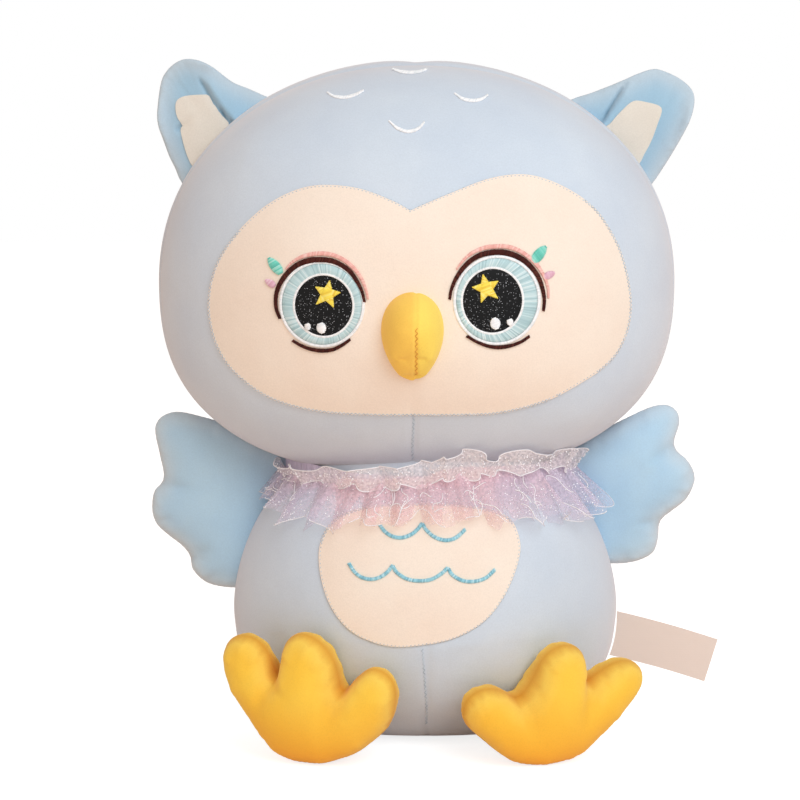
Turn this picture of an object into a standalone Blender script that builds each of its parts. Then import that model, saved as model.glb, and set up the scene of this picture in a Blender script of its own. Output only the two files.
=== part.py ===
"""Sitting plush owl with a tulle collar, in metres, +Z up, facing -Y.

The origin is the middle of the flat seat panel. The toy's own left is +X.
Stuffed forms are ovals and puffed blanks. Each has a fabric skin cut into sewn
panels, a stuffing core inside it, and applied patches and embroidery on top.
"""

import math

import bmesh
import bpy
import numpy as np
from mathutils import Matrix, Vector
from mathutils.bvhtree import BVHTree
from mathutils.geometry import delaunay_2d_cdt

for old in list(bpy.data.objects):
    bpy.data.objects.remove(old, do_unlink=True)

# Fabric, seams and running gaps
FABRIC = 0.0014
FILL_GAP = 0.0004
SEAM_HALF_GAP = 0.0002
PATCH_GAP = 0.0003
PATCH_FABRIC = 0.0009
THREAD_RISE = 0.0008
LIMB_GAP = 0.0008
LINING_SHARE = 0.40
SEAM_SWELL = 0.0009
FOOT_GAP = 0.0003
SEAT_GAP = 0.0006
CUT_OVERRUN = 0.050
THINNED_SHARE = 0.7
THINNED_ROUNDS = 12

# Head
HEAD_X = -0.006
HEAD_WIDEST_Z = 0.303
HEAD_HALF_WIDTH = 0.178
HEAD_FRONT = 0.130
HEAD_BACK = 0.115
HEAD_ABOVE = 0.149
HEAD_BELOW = 0.131
HEAD_TOP_POWER = 2.12
HEAD_BOTTOM_POWER = 2.5
HEAD_NECK_Z = 0.190
HEAD_NOD_DEG = 6

# Torso
TORSO_WIDEST_Z = 0.075
TORSO_HALF_WIDTH = 0.134
TORSO_FRONT = 0.112
TORSO_BACK = 0.100
TORSO_ABOVE = 0.140
TORSO_BELOW = 0.085
TORSO_TOP_POWER = 2.0
TORSO_BOTTOM_POWER = 2.4

OVAL_POWER = 2.1
FORM_SEGMENTS = 28
FORM_RINGS = 14
NECK_OPEN_RINGS = 2

# Face patch, from its middle line; the outline is one half, mirrored
FACE_X = -0.006
FACE_Z = 0.297
FACE_ROLL_DEG = 1.2
FACE_HALF_WIDTH = 0.1355
FACE_HALF_HEIGHT = 0.074
FACE_HALF_SHARES = [
    (0.00, 0.77), (0.12, 0.87), (0.30, 0.97), (0.50, 1.00), (0.72, 0.84), (0.89, 0.55),
    (0.985, 0.18), (0.99, -0.14), (0.93, -0.50), (0.76, -0.77), (0.42, -0.96), (0.14, -0.975),
]

# Eyes: sizes of the embroidered parts, and places from the eye's middle towards the outside
EYE_MIDDLE_X = -0.012
EYE_HALF_SPACING = 0.055
EYE_Z = 0.2968
EYE_RISE = 0.0018
IRIS_HALF_WIDTH = 0.0258
IRIS_HALF_HEIGHT = 0.0270
PUPIL_HALF_WIDTH = 0.0192
PUPIL_HALF_HEIGHT = 0.0197
PUPIL_IN = 0.0020
STAR_RADIUS = 0.0087
STAR_WAIST_SHARE = 0.48
STAR_IN = 0.0057
STAR_UP = 0.0077
GLINT_RADIUS = 0.0033
GLINT_DOWN = 0.0143
SMALL_GLINT_RADIUS = 0.0021
SMALL_GLINT_OUT = 0.0088
SMALL_GLINT_DOWN = 0.0132
ARCH_FULLNESS_SHARE = 0.92
LID_OUT = 0.0289
LID_IN = 0.0281
LID_OUT_DROP = 0.0084
LID_IN_RISE = 0.0017
LID_TOP = 0.0298
LID_WIDTH = 0.0032
BLUSH_LIFT = 0.0036
BLUSH_WIDTH = 0.0020
LOWER_OUT = 0.0198
LOWER_IN = 0.0180
LOWER_END_DROP = 0.0226
LOWER_MIDDLE_DROP = 0.0301
LOWER_WIDTH = 0.0021
LEAF_LENGTH = 0.0135
LEAF_WIDTH = 0.0066
LEAF_OUT = 0.0312
LEAF_UP = 0.0288
LEAF_TURN_DEG = 45
PETAL_LENGTH = 0.0078
PETAL_WIDTH = 0.0052
PETAL_OUT = 0.0370
PETAL_UP = 0.0140
PETAL_TURN_DEG = 20

# Forehead marks: small smiles, placed from the head's middle
MARK_LENGTH = 0.0220
MARK_DIP = 0.0052
MARK_WIDTH = 0.0026
MARK_REACH = 0.058
MARK_MIDDLE_SHARES = [(-0.83, 0.94), (-0.10, 1.20), (-0.12, 0.72), (0.60, 0.90)]
MARK_BASE_Z = 0.350
MARK_RISE = 0.077

# Beak: an egg with its point down, set on the face patch
BEAK_X = -0.0095
BEAK_Z = 0.2845
BEAK_HALF_WIDTH = 0.0205
BEAK_FRONT = 0.0400
BEAK_BACK = 0.0180
BEAK_ABOVE = 0.0215
BEAK_BELOW = 0.0355
BEAK_SINK = 0.0120
BEAK_GAP = 0.0009
BEAK_DROOP_SHARE = 0.22
BEAK_TOP_POWER = 2.1
BEAK_BOTTOM_POWER = 1.55
BEAK_SEGMENTS = 16
BEAK_RINGS = 9

# Belly patch and its two rows of stitched waves
BELLY_X = -0.0045
BELLY_Z = 0.131
BELLY_HALF_WIDTH = 0.065
BELLY_BELOW = 0.055
BELLY_ABOVE = 0.030
BELLY_POWER = 2.3
WAVE_WIDTH = 0.0031
WAVE_DIP = 0.0088
UPPER_WAVE_X = -0.0030
UPPER_WAVE_Z = 0.1498
UPPER_WAVE_LENGTH = 0.0550
UPPER_WAVE_COUNT = 2
LOWER_WAVE_X = -0.0040
LOWER_WAVE_Z = 0.1262
LOWER_WAVE_LENGTH = 0.0930
LOWER_WAVE_COUNT = 3

# Collar: a band round the neck with a skirt and a short frill of gathered tulle
COLLAR_Z = 0.1660
COLLAR_DROP = 0.0090
COLLAR_OFF = 0.0023
BAND_THICK = 0.0010
TULLE = 0.0008
COLLAR_FOLDS = 14
FOLD_POINTS = 6
SKIRT_DROP = 0.0240
SKIRT_FLARE = 0.0080
SKIRT_FOLD = 0.0035
FRILL_RISE = 0.0170
FRILL_FLARE = 0.0200
FRILL_FOLD = 0.0030
COLLAR_SIDE_RISE = 0.0100
COLLAR_SIDE_TUCK_SHARE = 0.80

# Wings: the root runs up the torso's side seam; shares are of the length and the height
WING_LENGTH = 0.077
WING_HEIGHT = 0.125
WING_FULLNESS_SHARE = 1.02
WING_ROOT_SOFTNESS = 0.022
WING_FLAP_DEG = 28
WING_HEAD_GAP = 0.0040
WING_CELL = 0.0125
WING_ROOT_LOW_Z = 0.0945
WING_ROOT_HIGH_Z = 0.1500
LEFT_WING_LOW_Z = 0.1080
LEFT_WING_SHARES = [
    (-0.130, 0.500), (-0.170, 0.660), (-0.100, 0.745), (0.100, 0.880), (0.350, 0.985), (0.480, 1.005),
    (0.570, 0.970), (0.590, 0.900), (0.562, 0.775), (0.690, 0.690), (0.735, 0.600), (0.725, 0.540),
    (0.650, 0.465), (0.520, 0.400), (0.430, 0.355), (0.425, 0.270), (0.370, 0.165), (0.180, 0.122),
]
RIGHT_WING_SHARES = [
    (-0.235, 0.560), (-0.190, 0.700), (-0.050, 0.790), (0.180, 0.870), (0.500, 0.970), (0.640, 0.960),
    (0.710, 0.910), (0.720, 0.830), (0.665, 0.610), (0.735, 0.560), (0.755, 0.450), (0.725, 0.345),
    (0.640, 0.270), (0.520, 0.215), (0.430, 0.155), (0.425, 0.095), (0.330, 0.015), (0.160, -0.012),
]

# Ears: the root runs along the head's side seam; shares are of the root's length
EAR_ROOT_LOW_Z = 0.0710
EAR_ROOT_HIGH_Z = 0.1270
EAR_FULLNESS_SHARE = 0.62
EAR_ROOT_SOFTNESS = 0.016
EAR_CUP = 0.0180
EAR_CELL = 0.0100
EAR_FOLD_DEG = 25
LEFT_EAR_SHARES = [
    (0.130, 0.350), (0.270, 0.660), (0.340, 0.790), (0.440, 0.820), (0.570, 0.780), (0.700, 0.660),
    (0.800, 0.460), (0.900, 0.270), (0.970, 0.110),
]
RIGHT_EAR_SHARES = [
    (0.130, 0.280), (0.270, 0.510), (0.360, 0.600), (0.470, 0.655), (0.620, 0.700), (0.750, 0.655),
    (0.850, 0.470), (0.880, 0.310), (0.945, 0.130),
]
EAR_PATCH_SHARES = [(0.220, 0.070), (0.330, 0.300), (0.450, 0.470), (0.600, 0.430), (0.690, 0.310), (0.650, 0.080)]

# Feet: three toes up, the sole to the front; shares are of the length and the height
FOOT_X = 0.074
FOOT_LENGTH = 0.110
FOOT_HEIGHT = 0.087
FOOT_FLOOR_GAP = 0.0004
FOOT_FULLNESS_SHARE = 1.36
FOOT_CELL = 0.0125
FOOT_YAW_DEG = 18
FOOT_LEAN_DEG = 8
FOOT_BEND_FORWARD_DEG = 30
FOOT_BEND_BACK_DEG = 0
FOOT_SEAM_Z = 0.034
FOOT_SEAM_IN = 0.010
FOOT_PRESS = 0.003
RIGHT_FOOT_SHARES = [
    (-0.097, 0.004), (-0.240, 0.110), (-0.365, 0.290), (-0.452, 0.490), (-0.500, 0.770), (-0.455, 0.930),
    (-0.360, 0.980), (-0.270, 0.890), (-0.170, 0.640), (-0.178, 0.850), (-0.110, 0.960), (-0.010, 1.000),
    (0.110, 0.920), (0.180, 0.740), (0.212, 0.550), (0.290, 0.650), (0.400, 0.732), (0.490, 0.690),
    (0.512, 0.590), (0.490, 0.400), (0.410, 0.225), (0.255, 0.095), (0.113, 0.040),
]
LEFT_FOOT_SHARES = [
    (-0.060, 0.004), (-0.225, 0.045), (-0.370, 0.180), (-0.480, 0.330), (-0.480, 0.450), (-0.430, 0.560),
    (-0.330, 0.605), (-0.250, 0.570), (-0.190, 0.530), (-0.090, 0.660), (-0.030, 0.850), (0.050, 0.920),
    (0.135, 0.920), (0.215, 0.860), (0.240, 0.760), (0.240, 0.600), (0.360, 0.730), (0.475, 0.785),
    (0.560, 0.740), (0.590, 0.610), (0.545, 0.440), (0.450, 0.290), (0.190, 0.090), (0.060, 0.030),
]

# Care label, sewn into the torso's left side seam
LABEL_LENGTH = 0.068
LABEL_HEIGHT = 0.031
LABEL_THICK = 0.0006
LABEL_Z = 0.060
LABEL_DROOP_DEG = 16.5
LABEL_GAP = 0.0003

# Fineness of outlines
CURVE_STEPS = 3
ROUND_SIDES = 18
SMALL_SIDES = 9

COLOURS = {
    "head_velour": (0.56, 0.69, 0.82), "wing_velour": (0.40, 0.60, 0.77), "cream_velour": (0.96, 0.84, 0.73),
    "yellow_velour": (1.0, 0.57, 0.06), "ear_cream": (0.86, 0.80, 0.72), "stuffing": (0.92, 0.92, 0.90),
    "iris_thread": (0.48, 0.68, 0.72), "pupil_cloth": (0.008, 0.008, 0.010), "star_thread": (1.0, 0.70, 0.05),
    "white_thread": (0.90, 0.91, 0.92), "brown_thread": (0.045, 0.012, 0.012), "pink_thread": (0.88, 0.40, 0.38),
    "teal_thread": (0.11, 0.57, 0.45), "petal_thread": (0.66, 0.38, 0.55), "wave_thread": (0.28, 0.56, 0.69),
    "lilac_tulle": (0.68, 0.55, 0.78), "pink_tulle": (0.90, 0.72, 0.80), "label_satin": (0.93, 0.84, 0.81),
}

collection = bpy.data.collections.new("plush_owl")
bpy.context.scene.collection.children.link(collection)
cutters = bpy.data.collections.new("cutters")
bpy.context.scene.collection.children.link(cutters)


def material(slot):
    """One soft finish for each fabric, thread or filling."""
    found = bpy.data.materials.get(slot)
    if found:
        return found
    made = bpy.data.materials.new(slot)
    made.use_nodes = True
    shader = made.node_tree.nodes["Principled BSDF"]
    shader.inputs["Base Color"].default_value = (*COLOURS[slot], 1.0)
    shader.inputs["Roughness"].default_value = 0.9
    shader.inputs["Metallic"].default_value = 0.0
    return made


def object_from(name, bm, slot, home=collection):
    mesh = bpy.data.meshes.new(name)
    bm.to_mesh(mesh)
    bm.free()
    made = bpy.data.objects.new(name, mesh)
    home.objects.link(made)
    if slot:
        mesh.materials.append(material(slot))
        mesh.shade_smooth()
    return made


# Flat outlines

def smooth_closed(points, steps=CURVE_STEPS, corners=()):
    """A round curve through all the points; an index in corners stays sharp."""
    out = []
    count = len(points)
    for i in range(count):
        before, here, after, later = (np.array(points[(i + k) % count], float) for k in (-1, 0, 1, 2))
        if i in corners:
            before = here
        if (i + 1) % count in corners:
            later = after
        for k in range(steps):
            t = k / steps
            out.append(tuple(
                0.5 * (2 * here + (after - before) * t
                       + (2 * before - 5 * here + 4 * after - later) * t * t
                       + (3 * here - before - 3 * after + later) * t ** 3)
            ))
    return out


def ellipse(x, z, half_width, half_height, sides=ROUND_SIDES):
    turns = [2 * math.pi * k / sides for k in range(sides)]
    return [(x + half_width * math.cos(t), z + half_height * math.sin(t)) for t in turns]


def star(x, z, radius):
    tips = 5
    out = []
    for k in range(2 * tips):
        reach = radius if k % 2 == 0 else radius * STAR_WAIST_SHARE
        turn = math.pi / 2 + math.pi * k / tips
        out.append((x + reach * math.cos(turn), z + reach * math.sin(turn)))
    return out


def leaf(x, z, length, width, turn_deg):
    """An almond with its long way turned up from +X."""
    turn = math.radians(turn_deg)
    sides = SMALL_SIDES - 1
    out = []
    for side in (1, -1):
        for k in range(sides):
            along = -math.cos(math.pi * k / sides) * side
            across = math.sin(math.pi * k / sides) * side * (1 - along * along / 3)
            u, v = along * length / 2, across * width / 2
            out.append((x + u * math.cos(turn) - v * math.sin(turn), z + u * math.sin(turn) + v * math.cos(turn)))
    return out[::-1]


def stroke(middle, width):
    """The outline of a line of satin stitch that thins towards both ends."""
    middle = [np.array(p, float) for p in middle]
    left, right = [], []
    last = len(middle) - 1
    for i, here in enumerate(middle):
        way = middle[min(i + 1, last)] - middle[max(i - 1, 0)]
        way = way / np.linalg.norm(way)
        side = np.array([-way[1], way[0]])
        half = width / 2 * (0.35 + 0.65 * math.sin(math.pi * i / last))
        left.append(tuple(here + side * half))
        right.append(tuple(here - side * half))
    return left + right[::-1]


def bow(start, middle, end, steps=10):
    """A round line from start through middle to end."""
    start, middle, end = (np.array(p, float) for p in (start, middle, end))
    control = 2 * middle - (start + end) / 2
    times = [k / steps for k in range(steps + 1)]
    return [tuple(start * (1 - t) ** 2 + control * 2 * t * (1 - t) + end * t * t) for t in times]


def scallops(x, z, length, arcs, dip, steps=5):
    """A row of hanging arcs that meet in points."""
    arc = length / arcs
    out = []
    for i in range(arcs * steps + 1):
        along = i / steps
        hang = 1 - (2 * (along - math.floor(along)) - 1) ** 2
        out.append((x - length / 2 + along * arc, z - dip * hang))
    return out


# Stuffed forms

class Oval:
    """A stuffed form whose level cuts are ovals and whose height follows a rounded power curve."""

    def __init__(self, centre, half_width, front, back, above, below, top_power, bottom_power):
        self.centre = Vector(centre)
        self.half_width, self.front, self.back = half_width, front, back
        self.above, self.below = above, below
        self.top_power, self.bottom_power = top_power, bottom_power

    def grown(self, by):
        return Oval(self.centre, self.half_width + by, self.front + by, self.back + by,
                    self.above + by, self.below + by, self.top_power, self.bottom_power)

    def level(self, z):
        """How wide the form is at a height, as a share of its widest."""
        rise = z - self.centre.z
        reach, power = (self.above, self.top_power) if rise > 0 else (self.below, self.bottom_power)
        return max(1 - abs(rise / reach) ** power, 0.0) ** (1 / power)

    def holds(self, point):
        local = point - self.centre
        depth = self.front if local.y < 0 else self.back
        across = abs(local.x / self.half_width) ** OVAL_POWER + abs(local.y / depth) ** OVAL_POWER
        return across ** (1 / OVAL_POWER) < self.level(point.z)

    def place(self, unit):
        """Moves a point of the unit sphere onto the form."""
        reach, power = (self.above, self.top_power) if unit.z > 0 else (self.below, self.bottom_power)
        flat = math.hypot(unit.x, unit.y)
        across = min(flat, 1.0) ** (2 / power)
        depth = self.front if unit.y < 0 else self.back
        turn_x, turn_y = (unit.x / flat, unit.y / flat) if flat > 1e-6 else (0.0, 0.0)
        x = math.copysign(abs(turn_x) ** (2 / OVAL_POWER), turn_x) * self.half_width * across
        y = math.copysign(abs(turn_y) ** (2 / OVAL_POWER), turn_y) * depth * across
        z = math.copysign(min(abs(unit.z), 1.0) ** (2 / power), unit.z) * reach
        return self.centre + Vector((x, y, z))

    def side_x(self, z):
        return self.half_width * self.level(z)

    def beside(self, sign, z, gap):
        """A point of the side seam at a height, a gap straight out from the form."""
        step = self.above / 1000
        slope = (self.side_x(z + step) - self.side_x(z - step)) / (2 * step)
        out = gap / math.hypot(1, slope)
        return Vector((self.centre.x + sign * (self.side_x(z) + out), 0, z - slope * out))

    def front_y(self, x, z):
        across = abs((x - self.centre.x) / self.half_width) / max(self.level(z), 1e-6)
        share = max(1 - across ** OVAL_POWER, 0.0) ** (1 / OVAL_POWER)
        return self.centre.y - self.front * self.level(z) * share


HEAD = Oval((HEAD_X, 0, HEAD_WIDEST_Z), HEAD_HALF_WIDTH, HEAD_FRONT, HEAD_BACK, HEAD_ABOVE, HEAD_BELOW,
            HEAD_TOP_POWER, HEAD_BOTTOM_POWER)
TORSO = Oval((0, 0, TORSO_WIDEST_Z), TORSO_HALF_WIDTH, TORSO_FRONT, TORSO_BACK, TORSO_ABOVE, TORSO_BELOW,
             TORSO_TOP_POWER, TORSO_BOTTOM_POWER)
BEAK_Y = HEAD.front_y(BEAK_X, BEAK_Z) + BEAK_SINK
BEAK = Oval((BEAK_X, BEAK_Y, BEAK_Z), BEAK_HALF_WIDTH, BEAK_FRONT, BEAK_BACK, BEAK_ABOVE, BEAK_BELOW,
            BEAK_TOP_POWER, BEAK_BOTTOM_POWER)


class Surface:
    """A closed surface: its points, its outward normals and its faces, four-sided ones split."""

    def __init__(self, points, faces):
        self.points = [Vector(p) for p in points]
        self.faces = [f for face in faces for f in self.split(tuple(face))]
        self.depths = [math.inf] * len(self.points)
        self.normals = [Vector() for _ in self.points]
        for face in self.faces:
            corners = [self.points[i] for i in face]
            area = Vector()
            for k in range(1, len(corners) - 1):
                area += (corners[k] - corners[0]).cross(corners[k + 1] - corners[0])
            for i in face:
                self.normals[i] += area
        for normal in self.normals:
            normal.normalize()

    def split(self, face):
        """Splits a four-sided face along the diagonal that bulges out."""
        if len(face) != 4:
            return [face]
        a, b, c, d = (self.points[i] for i in face)
        if (b - a).cross(c - a).dot(d - a) > 0:
            return [(face[0], face[1], face[3]), (face[1], face[2], face[3])]
        return [(face[0], face[1], face[2]), (face[0], face[2], face[3])]

    def middle(self, face):
        return sum((self.points[i] for i in face), Vector()) / len(face)

    def chosen(self, test):
        return [f for f in self.faces if test(self.middle(f))]


def oval_surface(form, segments, rings, after=None):
    bm = bmesh.new()
    bmesh.ops.create_uvsphere(bm, u_segments=segments, v_segments=rings, radius=1)
    bm.verts.index_update()
    points = [form.place(v.co) for v in bm.verts]
    if after:
        points = [after(p) for p in points]
    faces = [[v.index for v in f.verts] for f in bm.faces]
    bm.free()
    return Surface(points, faces)


def uncrossed(tops, lows, faces, edges):
    """Draws the lining up to the outside wherever the two would run through each other."""
    order = sorted(tops)
    place = {i: k for k, i in enumerate(order)}
    count = len(order)
    triangles = [tuple(place[i] for i in f) for f in faces]
    triangles += [tuple(count + k for k in reversed(f)) for f in triangles]
    for a, b in edges:
        triangles.append((place[b], place[a], count + place[a]))
        triangles.append((place[b], count + place[a], count + place[b]))
    for _ in range(THINNED_ROUNDS):
        tree = BVHTree.FromPolygons([tops[i] for i in order] + [lows[i] for i in order], triangles)
        crossing = set()
        for a, b in tree.overlap(tree):
            if not set(triangles[a]) & set(triangles[b]):
                crossing.update(k - count for k in triangles[a] + triangles[b] if k >= count)
        if not crossing:
            break
        for k in crossing:
            i = order[k]
            lows[i] = tops[i] + (lows[i] - tops[i]) * THINNED_SHARE


def shell(name, surface, faces, outer, inner, slot, seam=SEAM_HALF_GAP, home=collection):
    """A sewn panel: the chosen faces between two offsets, its edges drawn back from the seam."""
    uses = {}
    for face in faces:
        for a, b in zip(face, face[1:] + face[:1]):
            uses[(a, b)] = uses.get((a, b), 0) + 1
    edges = [e for e in uses if (e[1], e[0]) not in uses]
    rim = {i for e in edges for i in e}
    pull = {i: Vector() for i in rim}
    for face in faces:
        for i in face:
            if i in rim:
                pull[i] += surface.middle(face) - surface.points[i]
    tops, lows = {}, {}
    for i in sorted({i for f in faces for i in f}):
        base = surface.points[i].copy()
        if i in rim:
            way = pull[i] - surface.normals[i] * pull[i].dot(surface.normals[i])
            base += way.normalized() * seam
        tops[i] = base + surface.normals[i] * outer
        lows[i] = base + surface.normals[i] * max(inner, -surface.depths[i])
    uncrossed(tops, lows, faces, edges)
    bm = bmesh.new()
    for store in (tops, lows):
        for i in store:
            store[i] = bm.verts.new(store[i])
    for face in faces:
        bm.faces.new([tops[i] for i in face])
        bm.faces.new([lows[i] for i in reversed(face)])
    for a, b in edges:
        bm.faces.new([tops[b], tops[a], lows[a], lows[b]])
    return object_from(name, bm, slot, home)


def core(name, surface, depth, slot, skins=None):
    """The stuffing: the whole closed surface, drawn in by a depth where skins cover it."""
    covered = {i for f in skins or surface.faces for i in f}
    bm = bmesh.new()
    verts = []
    for i, (point, normal) in enumerate(zip(surface.points, surface.normals)):
        verts.append(bm.verts.new(point - normal * (depth if i in covered else 0.0)))
    for face in surface.faces:
        bm.faces.new([verts[i] for i in face])
    return object_from(name, bm, slot)


def prism(name, outline, near_y, far_y):
    """A cutter: an outline in X and Z, drawn out along Y."""
    bm = bmesh.new()
    near = [bm.verts.new((x, near_y, z)) for x, z in outline]
    far = [bm.verts.new((x, far_y, z)) for x, z in outline]
    count = len(outline)
    bm.faces.new(near)
    bm.faces.new(far[::-1])
    for i in range(count):
        j = (i + 1) % count
        bm.faces.new([near[j], near[i], far[i], far[j]])
    bmesh.ops.recalc_face_normals(bm, faces=bm.faces)
    made = object_from(name, bm, None, cutters)
    made.hide_render = True
    made.display_type = "WIRE"
    return made


def cut(target, cutter, operation):
    modifier = target.modifiers.new(operation.lower() + "_" + cutter.name, "BOOLEAN")
    modifier.operation = operation
    modifier.object = cutter


def applied(name, surface, form, outline, layer, slot, hole=None, rise=THREAD_RISE):
    """A piece sewn on the front of a form: a slice between two offsets, cut to its outline."""
    xs, zs = zip(*outline)
    spare = surface_spare[id(surface)]

    def near(p):
        return (p.y < form.centre.y and min(xs) - spare < p.x < max(xs) + spare
                and min(zs) - spare < p.z < max(zs) + spare)

    made = shell(name, surface, surface.chosen(near), layer + rise, layer, slot, seam=0.0)
    near_y = form.centre.y - form.front - CUT_OVERRUN
    cut(made, prism(name + "_outline", outline, near_y, form.centre.y), "INTERSECT")
    if hole:
        cut(made, prism(name + "_hole", hole, near_y - CUT_OVERRUN, form.centre.y + CUT_OVERRUN), "DIFFERENCE")
    return made


# The head's sweep as it nods, which the torso and the wings keep clear of

NOD_STEPS = [math.radians(HEAD_NOD_DEG * share) for share in (-1, -0.5, 0, 0.5, 1)]
NECK = Vector((HEAD_X, 0, HEAD_NECK_Z))


def turned(point, pivot, axis, angle):
    return pivot + Matrix.Rotation(angle, 3, axis) @ (point - pivot)


def nodding_head_holds(point, clearance):
    grown = HEAD.grown(clearance)
    return any(grown.holds(turned(point, NECK, "X", -a)) for a in NOD_STEPS)


def seated(point):
    """Flattens the torso on the floor and hollows its top under the nodding head."""
    point = Vector((point.x, point.y, max(point.z, 0.0)))
    if point.z > TORSO_WIDEST_Z and nodding_head_holds(point, SEAT_GAP):
        low, high = TORSO_WIDEST_Z, point.z
        for _ in range(18):
            middle = (low + high) / 2
            if nodding_head_holds(Vector((point.x, point.y, middle)), SEAT_GAP):
                high = middle
            else:
                low = middle
        point.z = low
    return point


head = oval_surface(HEAD, FORM_SEGMENTS, FORM_RINGS)
torso = oval_surface(TORSO, FORM_SEGMENTS, FORM_RINGS, seated)
head_ring = math.pi * HEAD_HALF_WIDTH / FORM_RINGS
torso_ring = math.pi * TORSO_HALF_WIDTH / FORM_RINGS
surface_spare = {id(head): 1.3 * head_ring, id(torso): 1.3 * torso_ring}


def ring_height(form, ring):
    """The height of a ring, counted from the top pole."""
    polar = math.pi * ring / FORM_RINGS
    return form.place(Vector((math.sin(polar), 0, math.cos(polar)))).z


# Head: a front panel, two back panels and the stuffing

def build_head():
    neck_z = ring_height(HEAD, FORM_RINGS - NECK_OPEN_RINGS)
    closed = [f for f in head.faces if head.middle(f).z > neck_z]
    front = [f for f in closed if head.middle(f).y < 0]
    left = [f for f in closed if head.middle(f).y > 0 and head.middle(f).x > HEAD_X]
    right = [f for f in closed if head.middle(f).y > 0 and head.middle(f).x < HEAD_X]
    shell("head_front_panel", head, front, 0.0, -FABRIC, "head_velour")
    shell("head_back_left_panel", head, left, 0.0, -FABRIC, "head_velour")
    shell("head_back_right_panel", head, right, 0.0, -FABRIC, "head_velour")
    core("head_stuffing", head, FABRIC + FILL_GAP, "stuffing", closed)


def build_face():
    half = [(x * FACE_HALF_WIDTH, z * FACE_HALF_HEIGHT) for x, z in FACE_HALF_SHARES]
    whole = half + [(-x, z) for x, z in half[:0:-1]]
    rounded = smooth_closed(whole, corners=(0,))
    turn = math.radians(FACE_ROLL_DEG)
    outline = [(FACE_X + x * math.cos(turn) - z * math.sin(turn), FACE_Z + x * math.sin(turn) + z * math.cos(turn))
               for x, z in rounded]
    applied("face_patch", head, HEAD, outline, PATCH_GAP, "cream_velour", rise=PATCH_FABRIC)


def build_marks():
    for number, (x_share, z_share) in enumerate(MARK_MIDDLE_SHARES, 1):
        x = HEAD_X + x_share * MARK_REACH
        z = MARK_BASE_Z + z_share * MARK_RISE
        line = bow((x - MARK_LENGTH / 2, z), (x, z - MARK_DIP), (x + MARK_LENGTH / 2, z), steps=5)
        applied(f"forehead_mark_{number}", head, HEAD, stroke(line, MARK_WIDTH), PATCH_GAP, "white_thread")


def build_eye(side, sign):
    """One embroidered eye. Its flat layers lie beside or on each other, a gap apart."""
    x = EYE_MIDDLE_X + sign * EYE_HALF_SPACING
    z = EYE_Z + sign * EYE_RISE
    on_patch = PATCH_GAP + PATCH_FABRIC + PATCH_GAP
    on_pupil = on_patch + THREAD_RISE + PATCH_GAP

    def out(distance):
        return x + sign * distance

    def piece(part, outline, layer, slot, hole=None):
        applied(f"{side}_eye_{part}", head, HEAD, outline, layer, slot, hole)

    pupil_x = out(-PUPIL_IN)
    pupil = ellipse(pupil_x, z, PUPIL_HALF_WIDTH, PUPIL_HALF_HEIGHT)
    socket = ellipse(pupil_x, z, PUPIL_HALF_WIDTH + PATCH_GAP, PUPIL_HALF_HEIGHT + PATCH_GAP)
    piece("iris", ellipse(x, z, IRIS_HALF_WIDTH, IRIS_HALF_HEIGHT), on_patch, "iris_thread", socket)
    piece("pupil", pupil, on_patch, "pupil_cloth")
    piece("star", star(out(-STAR_IN), z + STAR_UP, STAR_RADIUS), on_pupil, "star_thread")
    big = ellipse(x, z - GLINT_DOWN, GLINT_RADIUS, GLINT_RADIUS, SMALL_SIDES)
    piece("glint", big, on_pupil, "white_thread")
    lid = arch(out, z, -LID_IN, LID_IN_RISE, LID_OUT, -LID_OUT_DROP, LID_TOP)
    piece("lid_line", stroke(lid, LID_WIDTH), on_patch, "brown_thread")
    blush = arch(out, z, -LID_IN - BLUSH_LIFT, LID_IN_RISE, LID_OUT + BLUSH_LIFT, -LID_OUT_DROP, LID_TOP + BLUSH_LIFT)
    piece("blush_line", stroke(blush, BLUSH_WIDTH), on_patch, "pink_thread")
    lower = arch(out, z, -LOWER_IN, -LOWER_END_DROP, LOWER_OUT, -LOWER_END_DROP, -LOWER_MIDDLE_DROP)
    piece("lower_line", stroke(lower, LOWER_WIDTH), on_patch, "brown_thread")
    turn = LEAF_TURN_DEG if sign > 0 else 180 - LEAF_TURN_DEG
    piece("leaf", leaf(out(LEAF_OUT), z + LEAF_UP, LEAF_LENGTH, LEAF_WIDTH, turn), on_patch, "teal_thread")
    turn = PETAL_TURN_DEG if sign > 0 else 180 - PETAL_TURN_DEG
    piece("petal", leaf(out(PETAL_OUT), z + PETAL_UP, PETAL_LENGTH, PETAL_WIDTH, turn), on_patch, "petal_thread")


def arch(out, z, start, start_up, end, end_up, crown, steps=12):
    """Part of an oval from one end over its crown to the other, seen from outside the eye."""
    points = []
    for k in range(steps + 1):
        turn = math.pi * (1 - k / steps)
        across = math.copysign(abs(math.cos(turn)) ** ARCH_FULLNESS_SHARE, math.cos(turn))
        half = -start if across < 0 else end
        foot = start_up if across < 0 else end_up
        points.append((out(across * half), z + foot + (crown - foot) * abs(math.sin(turn)) ** ARCH_FULLNESS_SHARE))
    return points


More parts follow.
